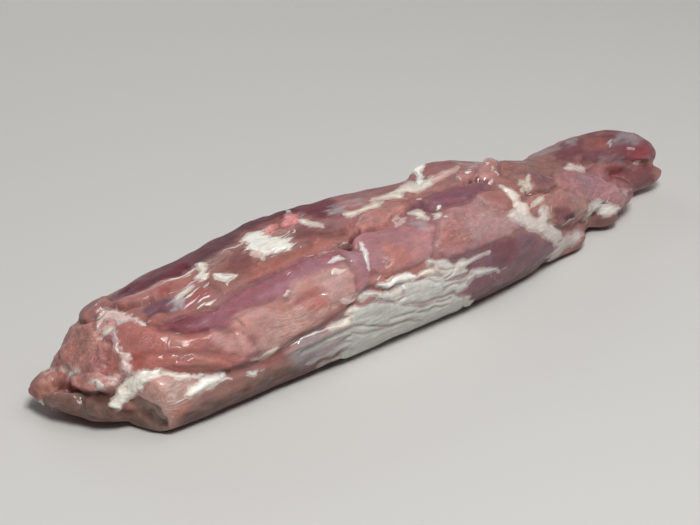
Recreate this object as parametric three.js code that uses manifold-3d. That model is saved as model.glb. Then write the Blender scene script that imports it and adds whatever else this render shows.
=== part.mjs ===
// A raw pork tenderloin, lying on its flatter side.
//
// +X runs from the thick cut end to the thin ragged tail, +Z is up, and -Y is the side with the
// fat sheet. The origin is on the table, under the middle of the bounding box. Units are
// millimetres. The meat is one solid: muscles that lie along and over each other, joined.

import * as THREE from "three";
import { ParametricGeometry } from "three/addons/geometries/ParametricGeometry.js";
import { mergeVertices } from "three/addons/utils/BufferGeometryUtils.js";
import Module from "manifold-3d";

const wasm = await Module();
wasm.setup();

// ---------------------------------------------------------------- driving dimensions
const TRUNK_STEPS = { along: 92, round: 46 };
const SIDE_STEPS = { along: 60, round: 22 };
const LOBE_STEPS = { along: 16, round: 14 };
const WELD = 1e-4; // vertices closer than this are one
const BASE_CUT_SIZE = 600; // the block that planes the underside flat is larger than the meat
const CUT_END_SLANT = 0.5; // how far the far corner of the cut end leads the near one, per mm across
const CUT_END_FROM = -70; // the slant fades in between these two places along the length
const CUT_END_FULL = -118;

// Each muscle is a row of stations: its centre x, y, z, its half width, and its rise above and
// drop below the centre. `crown` and `base` are how square the section is above and below.
const TRUNK = {
  crown: 2.3,
  base: 2.9,
  capStart: 0.03,
  capEnd: 0.1,
  stations: [
    [-130, 11, 6.5, 15, 4.5, 6.5],
    [-124, 8, 9.5, 20, 9, 10],
    [-115, 4, 13.5, 25, 16.5, 13.5],
    [-103, 1, 17, 28.5, 23, 17.5],
    [-86, 0, 19, 30.5, 25.5, 20],
    [-58, 1, 20, 32, 27, 21],
    [-30, 1.5, 21, 33, 28, 22],
    [-2, 1, 20.5, 32.5, 27, 21.5],
    [26, -0.5, 19.5, 31, 25, 20.5],
    [52, 0, 19, 30, 24.5, 20],
    [76, 1, 17, 26.5, 23, 18],
    [98, 2.5, 14, 21, 18.5, 15],
    [116, 4, 12, 15, 14, 13],
    [134, 5, 10, 10, 9, 9],
  ],
};

const SIDE_MUSCLE = {
  crown: 2.2,
  base: 2.4,
  capStart: 0.03,
  capEnd: 0.16,
  stations: [
    [-128, -15.5, 13, 13, 12, 13.5],
    [-108, -16, 14.5, 14, 12.5, 15.5],
    [-75, -15.5, 15, 14, 13, 16],
    [-30, -15, 15.5, 15, 14, 16.5],
    [5, -14.5, 15.5, 14.5, 14, 16.5],
    [40, -15, 15, 14, 13.5, 16],
    [70, -13.5, 13.5, 12.5, 12, 14],
    [92, -11.5, 9.5, 9.5, 8, 10],
  ],
};

const LOBES = {
  farRoll: {
    capStart: 0.12,
    capEnd: 0.3,
    stations: [
      [-122, 14.5, 28, 6, 5.5, 6],
      [-111, 13.5, 31.5, 8, 6, 7],
      [-92, 14.5, 33.8, 9, 6.3, 8],
      [-66, 16, 34, 9, 6, 8],
    ],
  },
  farBelly: {
    capStart: 0.12,
    capEnd: 0.25,
    stations: [
      [-76, 15, 34, 9, 6.5, 9],
      [-52, 17.5, 35.4, 11.5, 8, 12],
      [-22, 18, 35.4, 12.5, 8.3, 12],
      [12, 16, 34, 12, 8, 11],
    ],
  },
  lowerLip: {
    capStart: 0.1,
    capEnd: 0.35,
    stations: [
      [-139.5, 22.5, 10.5, 6, 4.5, 6],
      [-133.5, 13, 9.5, 8.5, 5.5, 7],
      [-124, 1, 8.5, 10.5, 7, 7.5],
      [-108, -10, 9, 11, 8, 10],
    ],
  },
  farBump: {
    capStart: 0.18,
    capEnd: 0.3,
    stations: [
      [37, 16, 36, 5.5, 5, 6],
      [50, 18, 37.5, 7.5, 6, 8],
      [66, 14.5, 34, 8, 6, 8],
      [86, 11.5, 27.5, 7, 6, 7],
    ],
  },
  tailTop: {
    capStart: 0.15,
    capEnd: 0.14,
    stations: [
      [72, 9, 25, 13, 9, 11],
      [102, 12, 19.5, 14, 10, 12],
      [130, 18, 17, 14.5, 10, 12],
      [152, 16.5, 16.5, 12.5, 10.5, 11],
      [172, 7.5, 14, 8, 8, 8],
    ],
  },
  tailMiddle: {
    capStart: 0.2,
    capEnd: 0.2,
    stations: [
      [70, -4, 23, 12, 9, 12],
      [100, -1, 18, 13, 9, 13],
      [122, 0, 13, 12, 8, 11],
      [145, -4, 10, 10, 7, 9],
    ],
  },
  tailLow: {
    capStart: 0.2,
    capEnd: 0.2,
    stations: [
      [112, 8, 9, 11, 8, 9],
      [142, 9, 8, 9, 6, 8],
      [171, 2, 8, 5.5, 4.5, 5],
    ],
  },
  tailFlap: {
    capStart: 0.2,
    capEnd: 0.25,
    stations: [
      [106, 0, 12, 8, 7, 9],
      [119, -5, 9, 8, 6, 8],
      [129, -13, 5, 6, 5, 5],
    ],
  },
  knob: {
    capStart: 0.2,
    capEnd: 0.25,
    stations: [
      [74, -14, 9, 8, 6, 9],
      [92, -14, 6.5, 7, 5, 6.5],
      [107, -15, 5.5, 5, 4, 5.5],
    ],
  },
};

// Relief on the skin is placed by mm along and by degrees round from the top towards the near
// side, measured about this line.
const SKIN_AXIS = { y: 0, z: 20 };
const MM_PER_DEGREE = 0.52; // on the skin, at its usual distance from that line
const LEAST_REACH = 1; // nearer to the line than this a point has no direction to move in

// Seams between muscles sink below the skin along these routes.
const SEAMS = [
  {
    name: "under the far roll", depth: 1.5, width: 4,
    route: [[-116, -38], [-106, -20], [-84, -11], [-66, -12], [-46, -17], [-24, -13], [4, -8], [30, -16]],
  },
  {
    name: "top ridge", depth: 1.3, width: 5,
    route: [[-114, -6], [-106, 16], [-92, 38], [-64, 37], [-34, 34], [-21, 33]],
  },
  {
    name: "crevice", depth: 3, width: 3,
    route: [[-24, 37], [-19, 32], [-15, 25], [0, 2], [22, 3]],
  },
  {
    name: "round the right muscle", depth: 1.3, width: 3.5,
    route: [[-23, 36], [-23, 54], [-29, 68]],
  },
  {
    name: "over the side muscle", depth: 2.2, width: 4.5,
    route: [
      [-122, 94], [-112, 78], [-96, 90], [-76, 92], [-58, 75], [-28, 72], [12, 72], [36, 66], [66, 75],
    ],
  },
  {
    name: "behind the strap", depth: 1.5, width: 3.5,
    route: [[54, 8], [57, 26], [58, 44], [61, 62]],
  },
  {
    name: "cut end's fat line", depth: 1.2, width: 3,
    route: [[-113, -30], [-115, -4], [-117, 24], [-118, 54], [-117, 72]],
  },
];

// Swellings and pads of fat: the place, half length, half width, height, and turn in degrees.
const PADS = [
  { name: "reddish ridge left", at: [4, 14], half: [16, 6], height: 2, turn: -12 },
  { name: "reddish ridge right", at: [27, 8], half: [9, 5], height: 1.6, turn: 0 },
  { name: "right muscle belly", at: [2, 48], half: [19, 11], height: 1.4, turn: 0 },
  { name: "near muscle belly", at: [-60, 58], half: [30, 12], height: 1.3, turn: 0 },
  { name: "near muscle end", at: [-38, 58], half: [9, 8], height: 1, turn: 0 },
  { name: "pale muscle end", at: [-88, 70], half: [10, 7], height: 1, turn: 0 },
  { name: "brown top muscle", at: [-50, 10], half: [24, 9], height: 1, turn: 0 },
  { name: "top fat", at: [-51, -3], half: [9, 5.5], height: 1, turn: -15 },
  { name: "fat sheet", at: [2, 84], half: [34, 9], height: 1.3, turn: 5 },
  { name: "fat strap", at: [60, 42], half: [4, 12], height: 1.6, turn: -8 },
  { name: "oval muscle end", at: [80, 34], half: [9, 6], height: 1.6, turn: 10 },
];
const PAD_EDGE = { from: 0.55, to: 1.35 }; // a pad falls away between these shares of its half size
const SEAM_FALL = 2; // how quickly a seam's side rises, on the square of its share of the width
const SKIN_EASE = { from: 2, to: 9 }; // relief fades out below this height, where the meat rests

// ---------------------------------------------------------------- shapes

// Signed power, which squares off an ellipse as the exponent falls.
function signedPower(value, exponent) {
  return Math.sign(value) * Math.abs(value) ** exponent;
}

// 0 at the very end of a muscle, rising on a quarter circle to 1 once `cap` of its length is past.
function roundedEnd(distance, cap) {
  const short = Math.max(0, 1 - distance / cap);
  return Math.sqrt(Math.max(0, 1 - short * short));
}

// The stations' sizes between two stations, on the same kind of smooth curve as the centreline.
function sizeAt(sizes, t) {
  const place = t * (sizes.length - 1);
  const i = Math.min(sizes.length - 2, Math.floor(place));
  const f = place - i;
  const at = (k) => sizes[Math.max(0, Math.min(sizes.length - 1, k))];
  return [0, 1, 2].map((c) => {
    const [p, a, b, q] = [at(i - 1)[c], at(i)[c], at(i + 1)[c], at(i + 2)[c]];
    const lead = (b - p) / 2;
    const trail = (q - a) / 2;
    const f2 = f * f;
    const f3 = f2 * f;
    return (
      (2 * f3 - 3 * f2 + 1) * a + (f3 - 2 * f2 + f) * lead + (3 * f2 - 2 * f3) * b + (f3 - f2) * trail
    );
  });
}

// A closed muscle: square-round sections across a smooth centreline, drawn in at both ends.
function muscleGeometry({ stations, capStart, capEnd, crown = 2, base = 2 }, steps) {
  const centre = new THREE.CatmullRomCurve3(
    stations.map(([x, y, z]) => new THREE.Vector3(x, y, z)),
    false,
    "catmullrom",
    0.5,
  );
  const sizes = stations.map((s) => s.slice(3));
  const place = (u, v, target) => {
    const t = v - (0.5 * Math.sin(2 * Math.PI * v)) / (2 * Math.PI); // closer steps at the ends
    const middle = centre.getPoint(t);
    const ahead = centre.getTangent(t);
    const side = new THREE.Vector3(-ahead.y, ahead.x, 0).normalize();
    const up = new THREE.Vector3().crossVectors(ahead, side);
    const [halfWidth, rise, drop] = sizeAt(sizes, t);
    const shrink = roundedEnd(t, capStart) * roundedEnd(1 - t, capEnd);
    const angle = 2 * Math.PI * u;
    const upper = Math.sin(angle) > 0;
    const exponent = 2 / (upper ? crown : base);
    const across = halfWidth * shrink * signedPower(Math.cos(angle), exponent);
    const height = (upper ? rise : drop) * shrink * signedPower(Math.sin(angle), exponent);
    target.copy(middle).addScaledVector(side, across).addScaledVector(up, height);
  };
  return new ParametricGeometry(place, steps.round, steps.along);
}

// A geometry's solid, with the vertices that lie on each other merged first.
function solidOf(geometry) {
  const bare = geometry.clone();
  bare.deleteAttribute("normal");
  bare.deleteAttribute("uv");
  const merged = mergeVertices(bare, WELD);
  const source = merged.index.array;
  const kept = [];
  for (let i = 0; i < source.length; i += 3) {
    const [a, b, c] = [source[i], source[i + 1], source[i + 2]];
    if (a !== b && b !== c && c !== a) kept.push(a, b, c);
  }
  return new wasm.Manifold(
    new wasm.Mesh({
      numProp: 3,
      vertProperties: new Float32Array(merged.attributes.position.array),
      triVerts: new Uint32Array(kept),
    }),
  );
}

// The slant of the cut end: the far side leads, and the slant fades out along the length.
function slantCutEnd(geometry) {
  const position = geometry.attributes.position;
  for (let i = 0; i < position.count; i += 1) {
    const x = position.getX(i);
    const share = 1 - THREE.MathUtils.smoothstep(x, CUT_END_FULL, CUT_END_FROM);
    position.setX(i, x - CUT_END_SLANT * share * position.getY(i));
  }
}

// Distance on the skin from a place to a route of straight stretches, all in mm.
function distanceToRoute(along, round, route) {
  let nearest = Infinity;
  for (let i = 0; i + 1 < route.length; i += 1) {
    const [ax, ay] = [route[i][0], route[i][1] * MM_PER_DEGREE];
    const [bx, by] = [route[i + 1][0], route[i + 1][1] * MM_PER_DEGREE];
    const length2 = (bx - ax) ** 2 + (by - ay) ** 2;
    const share = THREE.MathUtils.clamp(
      ((along - ax) * (bx - ax) + (round - ay) * (by - ay)) / length2, 0, 1);
    const gap = Math.hypot(along - ax - share * (bx - ax), round - ay - share * (by - ay));
    nearest = Math.min(nearest, gap);
  }
  return nearest;
}

// Height of the relief at a place on the skin: bell-shaped pads less bell-shaped seams.
function reliefAt(along, degrees) {
  const round = degrees * MM_PER_DEGREE;
  let height = 0;
  for (const { at, half, height: rise, turn } of PADS) {
    const [dx, dy] = [along - at[0], round - at[1] * MM_PER_DEGREE];
    const angle = THREE.MathUtils.degToRad(turn);
    const lengthwise = dx * Math.cos(angle) + dy * Math.sin(angle);
    const crosswise = dy * Math.cos(angle) - dx * Math.sin(angle);
    const reach = Math.hypot(lengthwise / half[0], crosswise / half[1]);
    height += rise * (1 - THREE.MathUtils.smoothstep(reach, PAD_EDGE.from, PAD_EDGE.to));
  }
  for (const { depth, width, route } of SEAMS) {
    const gap = distanceToRoute(along, round, route) / width;
    height -= depth * Math.exp(-gap * gap * SEAM_FALL);
  }
  return height;
}

// Moves each point of a muscle out from the skin axis by the relief there.
function carveSkin(geometry) {
  const position = geometry.attributes.position;
  for (let i = 0; i < position.count; i += 1) {
    const [x, y, z] = [position.getX(i), position.getY(i), position.getZ(i)];
    const [out, up] = [y - SKIN_AXIS.y, z - SKIN_AXIS.z];
    const reach = Math.hypot(out, up);
    if (reach < LEAST_REACH) continue;
    const degrees = THREE.MathUtils.radToDeg(Math.atan2(-out, up));
    const ease = THREE.MathUtils.smoothstep(z, SKIN_EASE.from, SKIN_EASE.to);
    const height = ease * reliefAt(x, degrees);
    position.setXYZ(i, x, y + (height * out) / reach, z + (height * up) / reach);
  }
}

function geometryOf(solid) {
  const mesh = solid.getMesh();
  return new THREE.BufferGeometry()
    .setAttribute("position", new THREE.BufferAttribute(mesh.vertProperties, 3))
    .setIndex(new THREE.BufferAttribute(mesh.triVerts, 1));
}

function meatGeometry() {
  const trunk = muscleGeometry(TRUNK, TRUNK_STEPS);
  slantCutEnd(trunk);
  carveSkin(trunk);
  let meat = solidOf(trunk);
  const side = muscleGeometry(SIDE_MUSCLE, SIDE_STEPS);
  slantCutEnd(side);
  carveSkin(side);
  meat = meat.add(solidOf(side));
  for (const lobe of Object.values(LOBES)) {
    meat = meat.add(solidOf(muscleGeometry(lobe, LOBE_STEPS)));
  }
  const block = new THREE.BoxGeometry(BASE_CUT_SIZE, BASE_CUT_SIZE, BASE_CUT_SIZE);
  block.translate(0, 0, -BASE_CUT_SIZE / 2);
  const geometry = geometryOf(meat.subtract(solidOf(block)));
  geometry.computeBoundingBox();
  const centre = geometry.boundingBox.getCenter(new THREE.Vector3());
  return geometry.translate(-centre.x, -centre.y, 0);
}

const part = new THREE.Group();
const tenderloin = new THREE.Mesh(
  meatGeometry(),
  new THREE.MeshStandardMaterial({ color: 0xa86f68, roughness: 0.4, metalness: 0 }),
);
tenderloin.name = "tenderloin";
part.add(tenderloin);

export default part;
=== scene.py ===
import math

import bpy
import numpy as np
from mathutils import Matrix


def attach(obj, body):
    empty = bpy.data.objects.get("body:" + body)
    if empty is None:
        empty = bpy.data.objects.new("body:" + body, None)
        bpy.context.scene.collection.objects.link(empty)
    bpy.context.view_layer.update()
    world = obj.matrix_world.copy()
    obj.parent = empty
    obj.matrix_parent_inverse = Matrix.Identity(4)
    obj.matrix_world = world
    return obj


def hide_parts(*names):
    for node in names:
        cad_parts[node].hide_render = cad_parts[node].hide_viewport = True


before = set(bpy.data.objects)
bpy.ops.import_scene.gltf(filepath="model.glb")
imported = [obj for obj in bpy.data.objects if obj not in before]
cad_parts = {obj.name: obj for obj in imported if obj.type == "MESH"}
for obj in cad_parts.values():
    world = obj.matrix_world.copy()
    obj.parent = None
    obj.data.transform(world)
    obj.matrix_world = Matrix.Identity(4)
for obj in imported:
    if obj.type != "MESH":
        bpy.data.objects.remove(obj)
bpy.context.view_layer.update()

# ---------------------------------------------------------------- the view
# The camera looks down on the near side from beyond the cut end, as in the photograph.
# Places on the meat are also named below by where they show in the photograph's frame, in pixels.
MM = 0.001  # the sizes below are millimetres, and the scene's unit is the metre
VIEW_AZIMUTH = math.radians(-38)
VIEW_ELEVATION = math.radians(30)
VIEW_DISTANCE = 810  # from what the camera looks at to the camera
VIEW_TARGET = np.array([-12.5, 11.0, 16.0])
PHOTO_WIDTH = 700
PHOTO_HEIGHT = 525
FOCAL_PIXELS = 2000  # the lens's focal length, in pixels of the photograph
SENSOR_WIDTH = 36

view_back = np.array([
    math.sin(VIEW_AZIMUTH) * math.cos(VIEW_ELEVATION),
    -math.cos(VIEW_AZIMUTH) * math.cos(VIEW_ELEVATION),
    math.sin(VIEW_ELEVATION),
])
view_right = np.array([math.cos(VIEW_AZIMUTH), math.sin(VIEW_AZIMUTH), 0.0])
view_up = np.cross(view_back, view_right)
view_from = VIEW_TARGET + VIEW_DISTANCE * view_back
PIXEL = VIEW_DISTANCE / FOCAL_PIXELS  # mm on the meat for a pixel of the photograph


def in_photo(points):
    """Pixels where points show, and their depth: offsets along the view's right and up, over depth."""
    offset = points - view_from
    depth = -(offset @ view_back)
    across = PHOTO_WIDTH / 2 + FOCAL_PIXELS * (offset @ view_right) / depth
    down = PHOTO_HEIGHT / 2 - FOCAL_PIXELS * (offset @ view_up) / depth
    return np.stack([across, down], axis=-1), depth


camera_data = bpy.data.cameras.new("view")
camera_data.sensor_width = SENSOR_WIDTH
camera_data.lens = FOCAL_PIXELS * SENSOR_WIDTH / PHOTO_WIDTH
camera_data.clip_start = 0.05
camera = bpy.data.objects.new("view", camera_data)
turn = np.eye(4)
turn[:3, 0] = view_right
turn[:3, 1] = view_up
turn[:3, 2] = view_back
turn[:3, 3] = view_from * MM
camera.matrix_world = Matrix(turn.tolist())
bpy.context.scene.collection.objects.link(camera)
bpy.context.scene.camera = camera

# ---------------------------------------------------------------- the muscles
# A tenderloin is one long muscle with smaller ones grown along it. Those that give the outline are
# laid into each other, joined into one skin, and planed flat where the meat rests. A station is
# the centre x, y, z, the half width, and the rise above and the drop below the centre.
TRUNK = {"crown": 2.3, "base": 2.9, "caps": (0.03, 0.1), "slant": True, "stations": [
    (-130, 11, 6.5, 15, 4.5, 6.5),
    (-124, 8, 9.5, 20, 9, 10),
    (-115, 4, 13.5, 25, 16.5, 13.5),
    (-103, 1, 17, 28.5, 23, 17.5),
    (-86, 0, 19, 30.5, 25.5, 20),
    (-58, 1, 20, 32, 27, 21),
    (-30, 1.5, 21, 33, 28, 22),
    (-2, 1, 20.5, 32.5, 27, 21.5),
    (26, -0.5, 19.5, 31, 25, 20.5),
    (52, 0, 19, 30, 24.5, 20),
    (76, 1, 17, 26.5, 23, 18),
    (98, 2.5, 14, 21, 18.5, 15),
    (116, 4, 12, 15, 14, 13),
    (134, 5, 10, 10, 9, 9),
]}
SIDE_MUSCLE = {"crown": 2.2, "base": 2.4, "caps": (0.03, 0.16), "slant": True, "stations": [
    (-128, -15.5, 13, 13, 12, 13.5),
    (-108, -16, 14.5, 14, 12.5, 15.5),
    (-75, -15.5, 15, 14, 13, 16),
    (-30, -15, 15.5, 15, 14, 16.5),
    (5, -14.5, 15.5, 14.5, 14, 16.5),
    (40, -15, 15, 14, 13.5, 16),
    (70, -13.5, 13.5, 12.5, 12, 14),
    (92, -11.5, 9.5, 9.5, 8, 10),
]}
FAR_ROLL = {"caps": (0.12, 0.3), "stations": [
    (-122, 14.5, 28, 6, 5.5, 6),
    (-111, 13.5, 31.5, 8, 6, 7),
    (-92, 14.5, 33.8, 9, 6.3, 8),
    (-66, 16, 34, 9, 6, 8),
]}
FAR_BELLY = {"caps": (0.12, 0.25), "stations": [
    (-76, 15, 34, 9, 6.5, 9),
    (-52, 17.5, 35.4, 11.5, 8, 12),
    (-22, 18, 35.4, 12.5, 8.3, 12),
    (12, 16, 34, 12, 8, 11),
]}
LOWER_LIP = {"caps": (0.1, 0.35), "stations": [
    (-139.5, 22.5, 10.5, 6, 4.5, 6),
    (-133.5, 13, 9.5, 8.5, 5.5, 7),
    (-124, 1, 8.5, 10.5, 7, 7.5),
    (-108, -10, 9, 11, 8, 10),
]}
FAR_BUMP = {"caps": (0.18, 0.3), "stations": [
    (37, 16, 36, 5.5, 5, 6),
    (50, 18, 37.5, 7.5, 6, 8),
    (66, 14.5, 34, 8, 6, 8),
    (86, 11.5, 27.5, 7, 6, 7),
]}
TAIL_TOP = {"caps": (0.15, 0.14), "stations": [
    (72, 9, 25, 13, 9, 11),
    (102, 12, 19.5, 14, 10, 12),
    (130, 18, 17, 14.5, 10, 12),
    (152, 16.5, 16.5, 12.5, 10.5, 11),
    (172, 7.5, 14, 8, 8, 8),
]}
TAIL_MIDDLE = {"caps": (0.2, 0.2), "stations": [
    (70, -4, 23, 12, 9, 12),
    (100, -1, 18, 13, 9, 13),
    (122, 0, 13, 12, 8, 11),
    (145, -4, 10, 10, 7, 9),
]}
TAIL_LOW = {"caps": (0.2, 0.2), "stations": [
    (112, 8, 9, 11, 8, 9),
    (142, 9, 8, 9, 6, 8),
    (171, 2, 8, 5.5, 4.5, 5),
]}
TAIL_FLAP = {"caps": (0.2, 0.25), "stations": [
    (106, 0, 12, 8, 7, 9),
    (119, -5, 9, 8, 6, 8),
    (129, -13, 5, 6, 5, 5),
]}
KNOB = {"caps": (0.2, 0.25), "stations": [
    (74, -14, 9, 8, 6, 9),
    (92, -14, 6.5, 7, 5, 6.5),
    (107, -15, 5.5, 5, 4, 5.5),
]}
LOBES = [FAR_ROLL, FAR_BELLY, LOWER_LIP, FAR_BUMP, TAIL_TOP, TAIL_MIDDLE, TAIL_LOW, TAIL_FLAP, KNOB]
LONG_GRID = (420, 200)  # sections along a long muscle, and points round each
LOBE_GRID = (90, 72)
CUT_END_SLANT = 0.5  # how far the far corner of the cut end leads the near one, per mm across
CUT_END_FROM = -70  # the slant fades in between these two places along the length
CUT_END_FULL = -118
SKIN_STEP = 0.82  # spacing of the joined skin's points
SKIN_SOFTENING = 4  # rounds that ease the creases where muscles meet


def smooth_step(values, low, high):
    """0 below low, 1 above high, and a cubic ease between; low may be above high to fall instead."""
    share = np.clip((values - low) / (high - low), 0, 1)
    return share * share * (3 - 2 * share)


def along_stations(rows, places, held):
    """Catmull-Rom curve through rows of numbers at shares 0..1 of the row; ends held or run straight on."""
    rows = np.asarray(rows, float)
    first = rows[:1] if held else 2 * rows[:1] - rows[1:2]
    last = rows[-1:] if held else 2 * rows[-1:] - rows[-2:-1]
    padded = np.concatenate([first, rows, last])
    spot = np.clip(places, 0, 1) * (len(rows) - 1)
    i = np.minimum(spot.astype(int), len(rows) - 2)
    f = (spot - i)[:, None]
    p, a, b, q = padded[i], padded[i + 1], padded[i + 2], padded[i + 3]
    lead = (b - p) / 2
    trail = (q - a) / 2
    start = (2 * f**3 - 3 * f**2 + 1) * a + (f**3 - 2 * f**2 + f) * lead
    return start + (3 * f**2 - 2 * f**3) * b + (f**3 - f**2) * trail


def muscle_surface(muscle, grid):
    """A closed muscle as rings: superellipse sections across the curve through its stations, whose
    size shrinks on a quarter circle at each end. Parameters: share of the length, angle round.
    The rings lie closer together towards the ends."""
    stations = np.array(muscle["stations"], float)
    even = np.linspace(0, 1, grid[0])
    t = even - 0.5 * np.sin(2 * np.pi * even) / (2 * np.pi)
    middle = along_stations(stations[:, :3], t, held=False)
    step = 1e-4
    ahead = along_stations(stations[:, :3], t + step, held=False)
    ahead -= along_stations(stations[:, :3], t - step, held=False)
    ahead /= np.linalg.norm(ahead, axis=1, keepdims=True)
    side = np.stack([-ahead[:, 1], ahead[:, 0], np.zeros(len(t))], axis=1)
    side /= np.linalg.norm(side, axis=1, keepdims=True)
    up = np.cross(ahead, side)
    sizes = along_stations(stations[:, 3:], t, held=True)
    shrink = np.ones(len(t))
    for distance, cap in ((t, muscle["caps"][0]), (1 - t, muscle["caps"][1])):
        shrink *= np.sqrt(1 - np.clip(1 - distance / cap, 0, 1) ** 2)
    angle = np.linspace(0, 2 * np.pi, grid[1], endpoint=False)
    upper = np.sin(angle) > 0
    power = 2 / np.where(upper, muscle.get("crown", 2), muscle.get("base", 2))
    across = np.sign(np.cos(angle)) * np.abs(np.cos(angle)) ** power
    height = np.sign(np.sin(angle)) * np.abs(np.sin(angle)) ** power
    reach = np.where(upper, sizes[:, 1:2], sizes[:, 2:3])
    rings = middle[:, None] + side[:, None] * (sizes[:, :1] * shrink[:, None] * across)[..., None]
    rings = rings + up[:, None] * (reach * shrink[:, None] * height)[..., None]
    if muscle.get("slant"):
        share = 1 - smooth_step(rings[..., 0], CUT_END_FULL, CUT_END_FROM)
        rings[..., 0] -= CUT_END_SLANT * share * rings[..., 1]
    rings[..., 2] = np.maximum(rings[..., 2], 0)
    return rings


def ring_quads(grid, first):
    """Quads between neighbouring rings, the last point of a ring meeting its first."""
    ring = first + np.arange(grid[0] - 1)[:, None] * grid[1]
    here = ring + np.arange(grid[1])
    there = ring + (np.arange(grid[1]) + 1) % grid[1]
    return np.stack([here, there, there + grid[1], here + grid[1]], axis=-1).reshape(-1, 4)


def mesh_object(name, points, quads):
    """A mesh object at the origin from points in mm and faces."""
    mesh = bpy.data.meshes.new(name)
    mesh.from_pydata((points * MM).tolist(), [], quads.tolist())
    mesh.update()
    made = bpy.data.objects.new(name, mesh)
    bpy.context.scene.collection.objects.link(made)
    return made


def joined_skin(surfaces):
    """One even skin of quads round all the surfaces, by a voxel remesh: its points in mm and its quads."""
    quads = []
    first = 0
    for rings in surfaces:
        quads.append(ring_quads(rings.shape[:2], first))
        first += rings.shape[0] * rings.shape[1]
    points = np.concatenate([rings.reshape(-1, 3) for rings in surfaces])
    rough = mesh_object("rough", points, np.concatenate(quads))
    remesh = rough.modifiers.new("skin", "REMESH")
    remesh.mode = "VOXEL"
    remesh.voxel_size = SKIN_STEP * MM
    done = rough.evaluated_get(bpy.context.evaluated_depsgraph_get()).to_mesh()
    points = np.empty(len(done.vertices) * 3)
    done.vertices.foreach_get("co", points)
    corners = np.empty(len(done.loops), int)
    done.loops.foreach_get("vertex_index", corners)
    bpy.data.objects.remove(rough)
    return points.reshape(-1, 3) / MM, corners.reshape(-1, 4)


def neighbour_mean(values, quads):
    """The mean of each point's neighbours along the quads' edges, for rows of numbers."""
    ends = np.concatenate([quads[:, [k, (k + 1) % 4]] for k in range(4)])
    count = np.bincount(ends.ravel(), minlength=len(values))
    total = np.stack([
        np.bincount(ends[:, 0], column[ends[:, 1]], len(values))
        + np.bincount(ends[:, 1], column[ends[:, 0]], len(values))
        for column in values.T
    ], axis=1)
    return total / count[:, None]


def relaxed(values, quads, rounds, share=0.5):
    """Values moved by `share` towards the mean of their neighbours, so many rounds."""
    for _ in range(rounds):
        values = values + share * (neighbour_mean(values, quads) - values)
    return values


def outward(points, quads):
    """Unit normals at the points: the sum of the crossed diagonals of the quads round each."""
    a, b, c, d = (points[quads[:, k]] for k in range(4))
    face = np.cross(c - a, d - b)
    total = np.stack([
        sum(np.bincount(quads[:, k], face[:, axis], len(points)) for k in range(4)) for axis in range(3)
    ], axis=1)
    return total / np.linalg.norm(total, axis=1, keepdims=True)


surfaces = [muscle_surface(TRUNK, LONG_GRID), muscle_surface(SIDE_MUSCLE, LONG_GRID)]
surfaces += [muscle_surface(lobe, LOBE_GRID) for lobe in LOBES]
every_point = np.concatenate([rings.reshape(-1, 3) for rings in surfaces])
centre = (every_point.min(0) + every_point.max(0)) / 2
surfaces = [rings - [centre[0], centre[1], 0] for rings in surfaces]
skin, quads = joined_skin(surfaces)
skin = relaxed(skin, quads, SKIN_SOFTENING)
skin[:, 2] = np.maximum(skin[:, 2], 0)
normal = outward(skin, quads)

# ---------------------------------------------------------------- places on the skin
# What lies on the skin follows the fibres, which run along the meat: edges fray along them.
# The side that the photograph shows is placed by pixels, and the rest by mm along the meat and
# mm round it from the top, where the near side counts up.
FRAY = [  # how far a strand's end runs out or falls short, its length and thickness, its seed
    (3.0, (16, 1.3, 1.3), 4),
    (1.2, (7, 0.7, 0.7), 5),
]
EDGE_WANDER = 0.9
EDGE_CELL = 4.5
DEEPEST_SEEN = 12  # points farther than this behind what shows in front of them are hidden
SEEN_FACING = (-0.15, 0.05)  # how far a point turns to the camera, from hidden to seen
SCREEN_CELL = 4  # pixels
CELLS_BEYOND = 100  # cells counted past the frame's edges
CELLS_DOWN = 1000  # more cells than the frame is high
SKIN_AXIS = (0, 20)  # y and z of the line that angles round the meat are measured about
MM_PER_DEGREE = 0.52
LATTICE = 64  # points along each side of a noise's lattice before it repeats
LATTICE_START = 1000  # keeps the places on it above 0


def noise(points, cell, seed):
    """Smooth noise, -1 to 1: random numbers on a lattice of the given cell, blended between corners."""
    table = np.random.default_rng(seed).uniform(-1, 1, (LATTICE, LATTICE, LATTICE))
    place = points / np.asarray(cell, float) + LATTICE_START
    low = np.floor(place).astype(int)
    f = place - low
    f = f * f * (3 - 2 * f)
    low %= LATTICE
    high = (low + 1) % LATTICE
    total = 0
    for i in (0, 1):
        for j in (0, 1):
            for k in (0, 1):
                corner = table[
                    (high if i else low)[:, 0], (high if j else low)[:, 1], (high if k else low)[:, 2]
                ]
                weight = (f[:, 0] if i else 1 - f[:, 0]) * (f[:, 1] if j else 1 - f[:, 1])
                total = total + corner * weight * (f[:, 2] if k else 1 - f[:, 2])
    return total


def layered_noise(points, layers):
    """The sum of several noises: how much of each, its cell and its seed."""
    return sum(amount * noise(points, cell, seed) for amount, cell, seed in layers)


def wandered(points):
    """Points shifted by smooth noise, so that edges drawn from them wander a little."""
    shift = np.stack([noise(points, EDGE_CELL, seed) for seed in (1, 2, 3)], axis=1)
    return points + EDGE_WANDER * shift


def frayed(points):
    """Wandered points, shifted along the meat by noise in long thin strands, so that edges fray."""
    moved = wandered(points)
    moved[:, 0] += layered_noise(points, FRAY)
    return moved


seen_at, depth = in_photo(skin)
soft_at, _ = in_photo(wandered(skin))
frayed_at, _ = in_photo(frayed(skin))

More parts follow.
